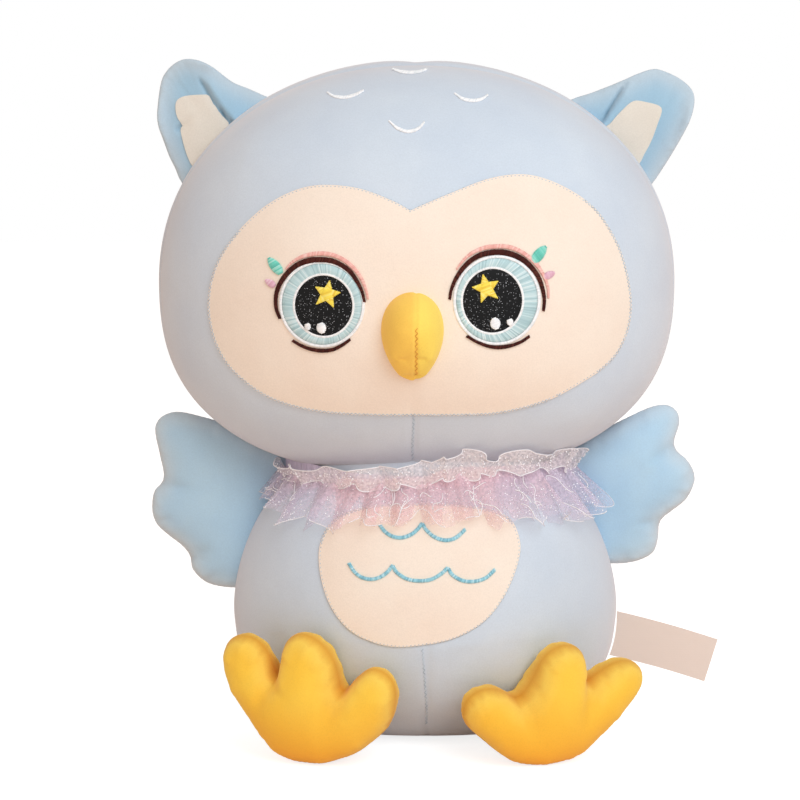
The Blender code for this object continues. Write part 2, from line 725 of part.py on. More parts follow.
def build_beak():
    """The beak's skin is two panels, left and right, over a small stuffing."""
    bed = HEAD.grown(PATCH_GAP + PATCH_FABRIC + BEAK_GAP)

    def drooped(point):
        return Vector((point.x, point.y - max(BEAK_Z - point.z, 0.0) * BEAK_DROOP_SHARE, point.z))

    def set_on_face(point):
        point = drooped(point)
        point.y = min(point.y, bed.front_y(point.x, point.z))
        return point

    beak = oval_surface(BEAK, BEAK_SEGMENTS, BEAK_RINGS, set_on_face)

    def is_free(face):
        return any(beak.points[i].y < bed.front_y(beak.points[i].x, beak.points[i].z) - FILL_GAP for i in face)

    skin = Surface(beak.points, [f for f in beak.faces if is_free(f)])
    left = [f for f in skin.faces if skin.middle(f).x > BEAK_X]
    right = [f for f in skin.faces if skin.middle(f).x < BEAK_X]
    shell("beak_left_panel", skin, left, 0.0, -FABRIC, "yellow_velour")
    shell("beak_right_panel", skin, right, 0.0, -FABRIC, "yellow_velour")
    depth = FABRIC + FILL_GAP
    seat_y = bed.front_y(BEAK_X, BEAK_Z) - depth
    share = (1 - ((BEAK_Y - seat_y) / BEAK_FRONT) ** OVAL_POWER) ** (1 / OVAL_POWER)
    small = Oval((BEAK_X, seat_y, BEAK_Z), BEAK_HALF_WIDTH * share - 2 * depth,
                 seat_y - BEAK_Y + BEAK_FRONT - 3 * depth, depth, BEAK_ABOVE * share - 3 * depth,
                 BEAK_BELOW * share - 4 * depth, BEAK_TOP_POWER, BEAK_BOTTOM_POWER)
    core("beak_stuffing", oval_surface(small, BEAK_SEGMENTS, BEAK_RINGS, drooped), 0.0, "stuffing")


# Torso: a front panel, two back panels, the flat seat panel and the stuffing

def build_torso():
    neck_z = ring_height(TORSO, NECK_OPEN_RINGS)
    neck_reach = TORSO.half_width * TORSO.level(neck_z)
    neck_depth = TORSO.front * TORSO.level(neck_z)

    def is_seat(face):
        return all(torso.points[i].z < SEAM_HALF_GAP for i in face)

    def is_neck(face):
        middle = torso.middle(face)
        within = (middle.x / neck_reach) ** 2 + (middle.y / neck_depth) ** 2 < 1
        return middle.z > TORSO_WIDEST_Z and within

    sides = [f for f in torso.faces if not is_seat(f) and not is_neck(f)]
    front = [f for f in sides if torso.middle(f).y < 0]
    left = [f for f in sides if torso.middle(f).y > 0 and torso.middle(f).x > 0]
    right = [f for f in sides if torso.middle(f).y > 0 and torso.middle(f).x < 0]
    shell("body_front_panel", torso, front, 0.0, -FABRIC, "head_velour")
    shell("body_back_left_panel", torso, left, 0.0, -FABRIC, "head_velour")
    shell("body_back_right_panel", torso, right, 0.0, -FABRIC, "head_velour")
    flat = Surface(torso.points, [f for f in torso.faces if is_seat(f)])
    shell("base_panel", flat, flat.faces, 0.0, -FABRIC, "head_velour", seam=FABRIC + FILL_GAP)
    core("body_stuffing", torso, FABRIC + FILL_GAP, "stuffing", sides + flat.faces)


def build_belly():
    outline = []
    for k in range(2 * ROUND_SIDES):
        turn = math.pi * k / ROUND_SIDES
        across, up = math.cos(turn), math.sin(turn)
        reach = BELLY_ABOVE if up > 0 else BELLY_BELOW
        x = math.copysign(abs(across) ** (2 / BELLY_POWER), across) * BELLY_HALF_WIDTH
        z = math.copysign(abs(up) ** (2 / BELLY_POWER), up) * reach
        outline.append((BELLY_X + x, BELLY_Z + z))
    applied("belly_patch", torso, TORSO, outline, PATCH_GAP, "cream_velour", rise=PATCH_FABRIC)
    on_patch = PATCH_GAP + PATCH_FABRIC + PATCH_GAP
    upper = scallops(UPPER_WAVE_X, UPPER_WAVE_Z, UPPER_WAVE_LENGTH, UPPER_WAVE_COUNT, WAVE_DIP)
    applied("belly_wave_upper", torso, TORSO, stroke(upper, WAVE_WIDTH), on_patch, "wave_thread")
    lower = scallops(LOWER_WAVE_X, LOWER_WAVE_Z, LOWER_WAVE_LENGTH, LOWER_WAVE_COUNT, WAVE_DIP)
    applied("belly_wave_lower", torso, TORSO, stroke(lower, WAVE_WIDTH), on_patch, "wave_thread")


# Collar

def around_torso(turn, z, off):
    """A point beside the torso at a height, a distance out from it."""
    share = TORSO.level(z)
    depth = TORSO_FRONT if math.sin(turn) < 0 else TORSO_BACK
    x = math.copysign(abs(math.cos(turn)) ** (2 / OVAL_POWER), math.cos(turn))
    y = math.copysign(abs(math.sin(turn)) ** (2 / OVAL_POWER), math.sin(turn))
    return Vector((x * (TORSO_HALF_WIDTH * share + off), y * (depth * share + off), z))


def ring_cloth(name, rows, points, row_point, thick, slot):
    """A closed ring of cloth, from rows of points round the neck."""
    places = [row_point(r, 2 * math.pi * k / points) for r in range(rows) for k in range(points)]
    faces = []
    for r in range(rows - 1):
        for k in range(points):
            j = (k + 1) % points
            a, b = r * points + k, r * points + j
            faces.append((a, b, b + points, a + points))
    ring = Surface(places, faces)
    shell(name, ring, ring.faces, thick, 0.0, slot, seam=0.0)


def build_collar():
    points = COLLAR_FOLDS * FOLD_POINTS
    on_patch = COLLAR_OFF
    top_z = COLLAR_Z
    low_z = COLLAR_Z - COLLAR_DROP

    def rise(turn):
        return COLLAR_SIDE_RISE * math.cos(turn) ** 2

    def tuck(turn):
        return 1 - COLLAR_SIDE_TUCK_SHARE * abs(math.cos(turn)) ** 6

    def band(row, turn):
        z = (low_z, top_z)[row] + rise(turn)
        return around_torso(turn, z, on_patch)

    def skirt(row, turn):
        share = row / 2
        z = top_z - FILL_GAP - SKIRT_DROP * (1 - share) * tuck(turn) + rise(turn)
        fold = SKIRT_FOLD * (1 - share) * (1 + math.sin(COLLAR_FOLDS * turn))
        start = on_patch + BAND_THICK + 2 * PATCH_GAP
        return around_torso(turn, z, start + (SKIRT_FLARE * (1 - share) + fold) * tuck(turn))

    def frill(row, turn):
        z = top_z + TULLE + FILL_GAP + FRILL_RISE * row * tuck(turn) + rise(turn)
        fold = FRILL_FOLD * row * (1 + math.sin(COLLAR_FOLDS * turn + math.pi / 2))
        start = on_patch + BAND_THICK + 2 * PATCH_GAP
        base = around_torso(turn, top_z + rise(turn), start + (FRILL_FLARE * row + fold) * tuck(turn))
        return Vector((base.x, base.y, z))

    ring_cloth("collar_band", 2, FORM_SEGMENTS, band, BAND_THICK, "lilac_tulle")
    ring_cloth("collar_skirt", 3, points, skirt, TULLE, "lilac_tulle")
    ring_cloth("collar_frill", 2, points, frill, TULLE, "pink_tulle")


# Puffed limbs

def inside_outline(point, outline):
    x, y = point
    found = False
    for (x1, y1), (x2, y2) in zip(outline, outline[1:] + outline[:1]):
        if (y1 > y) != (y2 > y) and x < (x2 - x1) * (y - y1) / (y2 - y1) + x1:
            found = not found
    return found


def outline_distance(point, outline):
    p = np.array(point)
    best = 1.0
    for a, b in zip(outline, outline[1:] + outline[:1]):
        a, b = np.array(a), np.array(b)
        t = min(max(np.dot(p - a, b - a) / max(np.dot(b - a, b - a), 1e-12), 0.0), 1.0)
        best = min(best, float(np.linalg.norm(p - a - (b - a) * t)))
    return best


class Blank:
    """A flat blank, triangulated, with the height that stuffing gives each of its points."""

    def __init__(self, outline, cell, fullness, patch=None):
        lines = [outline] + ([patch] if patch else [])
        points = [p for line in lines for p in line]
        edges = []
        for line in lines:
            start = points.index(line[0])
            edges += [(start + i, start + (i + 1) % len(line)) for i in range(len(line))]
        (x0, y0), (x1, y1) = np.min(outline, axis=0), np.max(outline, axis=0)
        row_step = cell * math.sqrt(3) / 2
        for row in range(int((y1 - y0) / row_step) + 1):
            for column in range(int((x1 - x0) / cell) + 2):
                p = (x0 + (column + row % 2 / 2) * cell, y0 + (row + 0.5) * row_step)
                if inside_outline(p, outline) and all(outline_distance(p, line) > 0.6 * cell for line in lines):
                    points.append(p)
        chords = True
        while chords:
            chords = self.triangulate(points, edges, outline, cell)
            points += [tuple((np.array(self.points[a]) + np.array(self.points[b])) / 2) for a, b in chords]
        self.patch_faces = [f for f in self.faces if patch and inside_outline(self.mean(f), patch)]
        self.heights = self.blown(fullness)

    def triangulate(self, points, edges, outline, cell):
        """Fills the outline with triangles; returns inner edges from rim to rim, which would stay flat."""
        result = delaunay_2d_cdt([Vector(p) for p in points], edges, [], 1, cell * 1e-4)
        self.points = [tuple(v) for v in result[0]]
        self.faces = [tuple(f) for f in result[2] if inside_outline(self.mean(f), outline)]
        self.faces = [f if self.area(f) > 0 else f[::-1] for f in self.faces]
        uses = {(a, b) for face in self.faces for a, b in zip(face, face[1:] + face[:1])}
        self.rim = {i for a, b in uses if (b, a) not in uses for i in (a, b)}
        return [(a, b) for a, b in uses if a < b and (b, a) in uses and a in self.rim and b in self.rim]

    def mean(self, face):
        return tuple(np.mean([self.points[i] for i in face], axis=0))

    def area(self, face):
        (ax, ay), (bx, by), (cx, cy) = (self.points[i] for i in face)
        return (bx - ax) * (cy - ay) - (by - ay) * (cx - ax)

    def blown(self, fullness):
        """Solves the shallow membrane equation over the blank; its root is a round cushion."""
        count = len(self.points)
        stiff, load = np.zeros((count, count)), np.zeros(count)
        for face in self.faces:
            area = self.area(face) / 2
            corners = [np.array(self.points[i]) for i in face]
            for a in range(3):
                load[face[a]] += area / 3
                for b in range(3):
                    edge_a = corners[(a + 2) % 3] - corners[(a + 1) % 3]
                    edge_b = corners[(b + 2) % 3] - corners[(b + 1) % 3]
                    stiff[face[a], face[b]] += np.dot(edge_a, edge_b) / (4 * area)
        free = [i for i in range(count) if i not in self.rim]
        solved = np.zeros(count)
        solved[free] = np.linalg.solve(stiff[np.ix_(free, free)], load[free])
        return [fullness * math.sqrt(max(h, 0.0)) for h in solved]


class Limb:
    """A puffed blank in its place: a front and a back skin that share the seam, and a core."""

    def __init__(self, blank, place, softness=0.0, root=None, clear=None):
        self.blank = blank
        count = len(blank.points)
        fronts, backs = [], []
        for (u, v), height in zip(blank.points, blank.heights):
            if root and height > 0:
                away = root(u, v)
                height = max(height * away / (away + softness), SEAM_SWELL)
            for side, store in ((1, fronts), (-1, backs)):
                store.append(self.cleared(place, u, v, side * height, clear))
        points = list(fronts)
        self.back_index = {}
        for i in range(count):
            if i in blank.rim:
                self.back_index[i] = i
            else:
                self.back_index[i] = len(points)
                points.append(backs[i])
        self.front_faces = list(blank.faces)
        self.back_faces = [tuple(self.back_index[i] for i in reversed(f)) for f in blank.faces]
        self.surface = Surface(points, self.front_faces + self.back_faces)
        linings = {i: (points[i] - points[j]).length * LINING_SHARE for i, j in self.back_index.items()}
        beside_rim = {i: 0.0 for i in blank.rim}
        for face in blank.faces:
            for i in face:
                if i in blank.rim:
                    beside_rim[i] = max(beside_rim[i], max(linings[j] for j in face))
        linings.update(beside_rim)
        for i, j in self.back_index.items():
            self.surface.depths[i] = self.surface.depths[j] = linings[i]

    @staticmethod
    def cleared(place, u, v, w, clear):
        point = place(u, v, w)
        if clear and clear(point):
            low, high = 0.0, 1.0
            for _ in range(12):
                middle = (low + high) / 2
                if clear(place(u, v, w * middle)):
                    high = middle
                else:
                    low = middle
            point = place(u, v, w * low)
        return point

    def skin(self, name, front, slot):
        faces = self.front_faces if front else self.back_faces
        return shell(name, self.surface, faces, 0.0, -FABRIC, slot)

    def filling(self, name, least):
        """The core stands back from the seam, where the skins are too close for it."""
        full = {i for i, h in enumerate(self.blank.heights)
                if (self.surface.points[i] - self.surface.points[self.back_index[i]]).length > 2 * least}
        faces = [f for f in self.blank.faces if all(i in full for i in f)]
        faces = self.largest_patch(faces)
        bm = bmesh.new()
        depth = FABRIC + FILL_GAP
        tops, lows, uses = {}, {}, {}
        for face in faces:
            for i in face:
                if i not in tops:
                    j = self.back_index[i]
                    tops[i] = bm.verts.new(self.surface.points[i] - self.surface.normals[i] * depth)
                    lows[i] = bm.verts.new(self.surface.points[j] - self.surface.normals[j] * depth)
            bm.faces.new([tops[i] for i in face])
            bm.faces.new([lows[i] for i in reversed(face)])
            for a, b in zip(face, face[1:] + face[:1]):
                uses[(a, b)] = 1
        for a, b in uses:
            if (b, a) not in uses:
                bm.faces.new([tops[b], tops[a], lows[a], lows[b]])
        return object_from(name, bm, "stuffing")

    @staticmethod
    def largest_patch(faces):
        """Keeps the faces that hang together by whole edges with no pinched corner."""
        owner = {}
        for number, face in enumerate(faces):
            for a, b in zip(face, face[1:] + face[:1]):
                owner.setdefault(frozenset((a, b)), []).append(number)
        groups, seen = [], set()
        for start in range(len(faces)):
            if start in seen:
                continue
            group, queue = [], [start]
            seen.add(start)
            while queue:
                here = queue.pop()
                group.append(here)
                face = faces[here]
                for a, b in zip(face, face[1:] + face[:1]):
                    for other in owner[frozenset((a, b))]:
                        if other not in seen:
                            seen.add(other)
                            queue.append(other)
            groups.append(group)
        best = [faces[i] for i in max(groups, key=len)]
        while True:
            rims = {}
            edges = {(a, b) for f in best for a, b in zip(f, f[1:] + f[:1])}
            for a, b in edges:
                if (b, a) not in edges:
                    rims[a] = rims.get(a, 0) + 1
            pinched = {i for i, n in rims.items() if n > 1}
            if not pinched:
                return best
            best = [f for f in best if not pinched & set(f)]


def swings_into(form, pivot, axis, degrees, clearance):
    """True for a point that a form would touch at rest or at a step of the joint's range."""
    grown = form.grown(clearance)
    steps = [math.radians(d) for d in degrees]

    def touches(point):
        return any(grown.holds(turned(point, pivot, axis, a)) for a in steps)

    return touches


def build_wing(side, sign, shares, low_z):
    """A wing: its root edge follows the torso's side, and it swings on the line of that seam."""
    corner = Vector((sign * TORSO.side_x(WING_ROOT_LOW_Z), 0, WING_ROOT_LOW_Z))
    free = [(corner.x + sign * u * WING_LENGTH, corner.z + v * WING_HEIGHT) for u, v in shares]
    steps = 5
    root = []
    for k in range(steps + 1):
        seam = TORSO.beside(sign, low_z + (WING_ROOT_HIGH_Z - low_z) * k / steps, LIMB_GAP)
        root.append((seam.x, seam.z))
    rounded = smooth_closed(root + free, 2, corners=(0, steps))
    outline = root + rounded[2 * steps + 1:]
    outline = [beside_head(sign, x, z) for x, z in outline]
    if sign > 0:
        outline = outline[::-1]
    pivot, axis = wing_hinge(sign, low_z)

    def place(u, v, w):
        return Vector((u, -w, v))

    def from_root(u, v):
        side_x = TORSO.side_x(min(max(v, low_z), WING_ROOT_HIGH_Z)) + LIMB_GAP
        above = max(v - WING_ROOT_HIGH_Z, 0.0)
        return max(math.hypot(max(sign * u - side_x, 0.0), above), 0.0)

    flap = [WING_FLAP_DEG * share for share in (-1, -0.66, -0.33, 0, 0.33, 0.66, 1)]
    hits_torso = swings_into(TORSO, pivot, axis, flap, LIMB_GAP / 2)

    def clear(point):
        return hits_torso(point) or nodding_head_holds(point, LIMB_GAP)

    blank = Blank(outline, WING_CELL, WING_FULLNESS_SHARE)
    limb = Limb(blank, place, WING_ROOT_SOFTNESS, from_root, clear)
    limb.skin(f"{side}_wing_front_panel", True, "wing_velour")
    limb.skin(f"{side}_wing_back_panel", False, "wing_velour")
    limb.filling(f"{side}_wing_stuffing", 3 * FABRIC)


def beside_head(sign, x, z):
    """Keeps a point of the wing's edge outside the head's silhouette."""
    if z < HEAD_WIDEST_Z - HEAD_BELOW:
        return x, z
    least = HEAD.side_x(z) + sign * HEAD_X + WING_HEAD_GAP
    return sign * max(sign * x, least), z


def wing_hinge(sign, low_z):
    """The seam's line: through its middle, along the torso's side there."""
    middle_z = (low_z + WING_ROOT_HIGH_Z) / 2
    pivot = TORSO.beside(sign, middle_z, LIMB_GAP)
    above, below = (TORSO.beside(sign, middle_z + step, LIMB_GAP) for step in (LIMB_GAP, -LIMB_GAP))
    return pivot, (above - below).normalized()


def ear_frame(sign):
    """The ear's root: its two ends on the head's side seam, and the ways along and out from it."""
    ends = []
    for rise in (EAR_ROOT_LOW_Z, EAR_ROOT_HIGH_Z):
        ends.append(HEAD.beside(sign, HEAD_WIDEST_Z + rise, LIMB_GAP))
    along = (ends[1] - ends[0]).normalized()
    out = Vector((sign * along.z, 0, abs(along.x)))
    return ends[0], ends[1], along, out


def ear_hinge(sign):
    """A line along the root, through the head's seam halfway."""
    low, high, along, _out = ear_frame(sign)
    return HEAD.beside(sign, (low.z + high.z) / 2, LIMB_GAP), along


def build_ear(side, sign, shares):
    """An ear: two skins sewn round, cupped forward, with a cream patch on the front one."""
    low, high, along, out = ear_frame(sign)
    length = (high - low).length
    steps = 5
    root = []
    for k in range(steps + 1):
        z = HEAD_WIDEST_Z + EAR_ROOT_LOW_Z + (EAR_ROOT_HIGH_Z - EAR_ROOT_LOW_Z) * k / steps
        root.append(HEAD.beside(sign, z, LIMB_GAP) - low)
    root = [(p.dot(along), p.dot(out)) for p in root]
    free = [(u * length, v * length) for u, v in reversed(shares)]
    rounded = smooth_closed(root + free, 2, corners=(0, steps))
    outline = root + rounded[2 * steps + 1:]
    lift = max(v for u, v in root)
    patch = [(u * length, lift * 0.6 + v * length) for u, v in EAR_PATCH_SHARES]
    if sign > 0:
        outline, patch = [(-u, v) for u, v in outline], [(-u, v) for u, v in patch]

    def place(u, v, w):
        u = -sign * u
        across = 2 * u / length - 1
        ramp = min(max(v / (length / 2), 0.0), 1.0) ** 2
        cup = EAR_CUP * ramp * min(across * across, 1.0)
        return low + along * u + out * v + Vector((0, -w - cup, 0))

    def from_root(u, v):
        u = min(max(abs(u) / length, 0.0), 1.0)
        edge = np.interp(u, [p[0] / length for p in root], [p[1] for p in root])
        return max(v - float(edge), 0.0)

    pivot, axis = ear_hinge(sign)
    fold = [EAR_FOLD_DEG * share for share in (-1, -0.5, 0, 0.5, 1)]
    clear = swings_into(HEAD, pivot, axis, fold, LIMB_GAP / 2)
    blank = Blank(outline, EAR_CELL, EAR_FULLNESS_SHARE, patch)
    limb = Limb(blank, place, EAR_ROOT_SOFTNESS, from_root, clear)
    limb.skin(f"{side}_ear_front_panel", True, "wing_velour")
    limb.skin(f"{side}_ear_back_panel", False, "wing_velour")
    shell(f"{side}_ear_patch", limb.surface, blank.patch_faces, PATCH_GAP + PATCH_FABRIC, PATCH_GAP, "ear_cream",
          seam=0.0)


def foot_frame(sign):
    """The foot's plane: turned out with the torso's side and leaning forward from the heel."""
    turn = Matrix.Rotation(math.radians(sign * FOOT_YAW_DEG), 3, "Z")
    lean = Matrix.Rotation(math.radians(FOOT_LEAN_DEG), 3, "X")
    return turn @ lean


def foot_hinge(sign):
    """The ankle seam: level, where the foot's back lies on the torso."""
    x = sign * (FOOT_X - FOOT_SEAM_IN)
    return Vector((x, TORSO.front_y(x, FOOT_SEAM_Z) - FOOT_GAP, FOOT_SEAM_Z))


def build_foot(side, sign, shares):
    free = [(u * FOOT_LENGTH, v * FOOT_HEIGHT) for u, v in shares]
    outline = smooth_closed(free, 2)[::-1]
    blank = Blank(outline, FOOT_CELL, FOOT_FULLNESS_SHARE)
    frame = foot_frame(sign)
    seam = foot_hinge(sign)
    seam_u = -sign * FOOT_SEAM_IN
    nearest = min(range(len(blank.points)),
                  key=lambda i: math.hypot(blank.points[i][0] - seam_u, blank.points[i][1] - FOOT_SEAM_Z))
    depth = blank.heights[nearest]
    heel = seam - frame @ Vector((seam_u, depth - FOOT_PRESS, FOOT_SEAM_Z))
    heel.z = FOOT_FLOOR_GAP

    def place(u, v, w):
        return heel + frame @ Vector((u, -w, v))

    bend = (-FOOT_BEND_BACK_DEG, 0, FOOT_BEND_FORWARD_DEG / 3, 2 * FOOT_BEND_FORWARD_DEG / 3, FOOT_BEND_FORWARD_DEG)
    hits_torso = swings_into(TORSO, seam, "X", bend, FOOT_GAP)
    hits_patch = swings_into(TORSO, seam, "X", bend, FOOT_GAP + PATCH_GAP + PATCH_FABRIC)

    def clear(point):
        near_patch = abs(point.x - BELLY_X) < BELLY_HALF_WIDTH and point.z > BELLY_Z - BELLY_BELOW
        return hits_torso(point) or (near_patch and hits_patch(point))

    limb = Limb(blank, place, clear=clear)
    limb.skin(f"{side}_foot_sole_panel", True, "yellow_velour")
    limb.skin(f"{side}_foot_top_panel", False, "yellow_velour")
    limb.filling(f"{side}_foot_stuffing", 3 * FABRIC)


def label_hinge():
    """The line where the label is sewn into the side seam."""
    above, below = (TORSO.beside(1, LABEL_Z + step, LABEL_GAP) for step in (LABEL_HEIGHT / 4, -LABEL_HEIGHT / 4))
    return TORSO.beside(1, LABEL_Z, LABEL_GAP), (above - below).normalized()


def build_label():
    """A satin label that hangs out of the side seam; its inner edge follows the seam."""
    droop = math.radians(LABEL_DROOP_DEG)
    outward = Vector((math.cos(droop), 0, -math.sin(droop)))
    upward = Vector((math.sin(droop), 0, math.cos(droop)))
    steps = 3
    low_z, high_z = LABEL_Z - LABEL_HEIGHT / 2, LABEL_Z + LABEL_HEIGHT / 2
    outline = [TORSO.beside(1, low_z + (high_z - low_z) * k / steps, LABEL_GAP) for k in range(steps + 1)]
    end = TORSO.beside(1, LABEL_Z, LABEL_GAP) + outward * LABEL_LENGTH
    outline += [end + upward * LABEL_HEIGHT / 2, end - upward * LABEL_HEIGHT / 2]
    bm = bmesh.new()
    face = bm.faces.new([bm.verts.new(p - Vector((0, LABEL_THICK / 2, 0))) for p in outline])
    moved = bmesh.ops.extrude_face_region(bm, geom=[face])["geom"]
    raised = [v for v in moved if isinstance(v, bmesh.types.BMVert)]
    bmesh.ops.translate(bm, verts=raised, vec=(0, LABEL_THICK, 0))
    bmesh.ops.recalc_face_normals(bm, faces=bm.faces)
    object_from("care_label", bm, "label_satin")


build_head()
build_face()
build_marks()
build_eye("left", 1)
build_eye("right", -1)
build_beak()
build_torso()
build_belly()
build_collar()
build_wing("left", 1, LEFT_WING_SHARES, LEFT_WING_LOW_Z)
build_wing("right", -1, RIGHT_WING_SHARES, WING_ROOT_LOW_Z)
build_ear("left", 1, LEFT_EAR_SHARES)
build_ear("right", -1, RIGHT_EAR_SHARES)
build_foot("left", 1, LEFT_FOOT_SHARES)
build_foot("right", -1, RIGHT_FOOT_SHARES)
build_label()
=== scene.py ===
import math
import random
import time

import bpy
import numpy as np
from mathutils import Matrix, Vector
from mathutils.bvhtree import BVHTree
from mathutils.geometry import delaunay_2d_cdt


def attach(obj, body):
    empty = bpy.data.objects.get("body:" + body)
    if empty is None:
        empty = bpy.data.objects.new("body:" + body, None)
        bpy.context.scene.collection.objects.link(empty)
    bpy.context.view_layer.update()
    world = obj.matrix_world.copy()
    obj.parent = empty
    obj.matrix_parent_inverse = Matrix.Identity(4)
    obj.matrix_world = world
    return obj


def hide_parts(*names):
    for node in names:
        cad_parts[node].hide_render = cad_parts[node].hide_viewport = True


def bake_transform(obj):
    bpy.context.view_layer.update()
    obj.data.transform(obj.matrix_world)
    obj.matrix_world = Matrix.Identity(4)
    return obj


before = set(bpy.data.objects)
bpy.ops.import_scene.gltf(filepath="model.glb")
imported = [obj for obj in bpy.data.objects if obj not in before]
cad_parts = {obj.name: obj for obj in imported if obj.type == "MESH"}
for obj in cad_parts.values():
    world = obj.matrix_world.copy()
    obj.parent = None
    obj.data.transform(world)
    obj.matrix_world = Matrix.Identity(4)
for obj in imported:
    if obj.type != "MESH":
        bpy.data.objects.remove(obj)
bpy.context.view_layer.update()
chance = random.Random(7)
scene = bpy.context.scene
started = time.time()


def report(text):
    print(f"{time.time() - started:6.1f} s  {text}")


# small helpers: colour, nodes, selection


def tone(hexColour):
    # sRGB hex to the linear colour that the sockets take
    parts = [int(hexColour[i:i + 2], 16) / 255 for i in (1, 3, 5)]
    return [c / 12.92 if c <= 0.04045 else ((c + 0.055) / 1.055) ** 2.4 for c in parts] + [1.0]


def addNode(material, kind, settings=None, links=None):
    made = material.node_tree.nodes.new(kind)
    for key, value in (settings or {}).items():
        if isinstance(key, int) or key in made.inputs:
            made.inputs[key].default_value = value
        else:
            setattr(made, key, value)
    for key, source in (links or {}).items():
        material.node_tree.links.new(source, made.inputs[key])
    return made


def newFinish(name):
    # an empty finish: its surface node, and the object's own coordinates for patterns
    made = bpy.data.materials.new(name)
    made.use_nodes = True
    made.node_tree.nodes.clear()
    place = addNode(made, "ShaderNodeTexCoord").outputs["Object"]
    return made, place


def finishWith(made, shader):
    addNode(made, "ShaderNodeOutputMaterial", None, {"Surface": shader.outputs[0]})
    return made


def alone(piece):
    # only this piece is selected and active, as a click on it would do
    if bpy.context.object and bpy.context.object.mode != "OBJECT":
        bpy.ops.object.mode_set(mode="OBJECT")
    bpy.ops.object.select_all(action="DESELECT")
    piece.select_set(True)
    bpy.context.view_layer.objects.active = piece


def applyAll(piece):
    alone(piece)
    for modifier in list(piece.modifiers):
        bpy.ops.object.modifier_apply(modifier=modifier.name)


def fromFaces(name, points, faces):
    mesh = bpy.data.meshes.new(name)
    mesh.from_pydata([tuple(p) for p in points], [], [tuple(f) for f in faces])
    mesh.update()
    piece = bpy.data.objects.new(name, mesh)
    scene.collection.objects.link(piece)
    return piece


def dress(piece, finish, slot, body, nodes=()):
    piece.data.materials.clear()
    piece.data.materials.append(finish)
    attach(piece, body)
    if nodes:
        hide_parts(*nodes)
    return piece


def facesOut(piece):
    alone(piece)
    bpy.ops.object.mode_set(mode="EDIT")
    bpy.ops.mesh.select_all(action="SELECT")
    bpy.ops.mesh.normals_make_consistent(inside=False)
    bpy.ops.object.mode_set(mode="OBJECT")


def giveWall(piece, thick, offset):
    wall = piece.modifiers.new("Solidify", "SOLIDIFY")
    wall.thickness = thick
    wall.offset = offset
    applyAll(piece)


def treeOf(piece):
    return BVHTree.FromPolygons([v.co.copy() for v in piece.data.vertices],
                                [tuple(p.vertices) for p in piece.data.polygons])


def touch(tree, x, z, fromY=-0.5):
    # where a pin pushed in from the front meets the cloth
    spot, normal, _index, _distance = tree.ray_cast(Vector((x, fromY, z)), Vector((0, 1, 0)))
    if spot is None:  # just past the edge
        spot, normal, _index, _distance = tree.find_nearest(Vector((x, -0.02, z)))
    return spot, normal


# finishes


def velour(name, colour, deeper, sheen=0.5, paintedShade=None, paintedEdgeSheen=None, paintedCreaseShade=None):
    # stretch velour: knitted polyester with a sheared 1 mm pile; matt, with a warm bloom where it turns away
    made, place = newFinish(name)
    brushed = addNode(made, "ShaderNodeTexNoise", {"Scale": 18.0, "Detail": 3.0, "Roughness": 0.55},
                      {"Vector": place})  # patches brushed this way and that, about 55 mm
    pile = addNode(made, "ShaderNodeTexNoise", {"Scale": 1000.0, "Detail": 2.0, "Roughness": 0.6},
                   {"Vector": place})  # tufts, drawn 1 mm wide as the real 0.3 mm wouldn't show
    slack = addNode(made, "ShaderNodeTexNoise", {"Scale": 48.0, "Detail": 2.0, "Roughness": 0.5},
                    {"Vector": place})  # stuffing felt through the cloth, about 20 mm
    share = addNode(made, "ShaderNodeMapRange",
                    {"From Min": 0.35, "From Max": 0.65, "To Min": 0.0, "To Max": 1.0},
                    {"Value": brushed.outputs["Fac"]})
    mixed = addNode(made, "ShaderNodeMix", {"data_type": "RGBA"}, {"Factor": share.outputs[0]})
    mixed.inputs[6].default_value = tone(colour)
    mixed.inputs[7].default_value = tone(deeper)
    if paintedShade:  # painted shade: a deeper colour towards one side or the bottom, where less light falls
        apart = addNode(made, "ShaderNodeSeparateXYZ", None, {"Vector": place})
        along = addNode(made, "ShaderNodeMapRange", {"From Min": paintedShade["from"], "From Max": paintedShade["to"]},
                        {"Value": apart.outputs[paintedShade["axis"]]})
        turned = addNode(made, "ShaderNodeMix", {"data_type": "RGBA"}, {"Factor": along.outputs[0]})
        turned.inputs[7].default_value = tone(paintedShade["colour"])
        made.node_tree.links.new(mixed.outputs[2], turned.inputs[6])
        mixed = turned
    for mark, there in (("paintedEdgeSheen", paintedEdgeSheen), ("paintedCreaseShade", paintedCreaseShade)):  # painted sheen, paler along an edge, and painted shade, deeper in a crease or fold
        if there:
            marked = addNode(made, "ShaderNodeAttribute", {"attribute_name": mark})
            turned = addNode(made, "ShaderNodeMix", {"data_type": "RGBA"}, {"Factor": marked.outputs["Fac"]})
            turned.inputs[7].default_value = tone(there)
            made.node_tree.links.new(mixed.outputs[2], turned.inputs[6])
            mixed = turned
    fleck = addNode(made, "ShaderNodeMapRange",
                    {"From Min": 0.25, "From Max": 0.75, "To Min": 0.955, "To Max": 1.035},
                    {"Value": pile.outputs["Fac"]})
    shaded = addNode(made, "ShaderNodeVectorMath", {"operation": "SCALE"},
                     {0: mixed.outputs[2], "Scale": fleck.outputs[0]})
    soft = addNode(made, "ShaderNodeBump", {"Strength": 0.35, "Distance": 0.0016}, {"Height": slack.outputs["Fac"]})
    tufts = addNode(made, "ShaderNodeBump", {"Strength": 0.25, "Distance": 0.0003},
                    {"Height": pile.outputs["Fac"], "Normal": soft.outputs[0]})
    shader = addNode(made, "ShaderNodeBsdfPrincipled",
                     {"Roughness": 0.92, "IOR": 1.5, "Specular IOR Level": 0.15, "Sheen Weight": sheen,
                      "Sheen Roughness": 0.5, "Sheen Tint": tone("#FFE4D6")},
                     {"Base Color": shaded.outputs[0], "Normal": tufts.outputs[0]})
    return finishWith(made, shader)


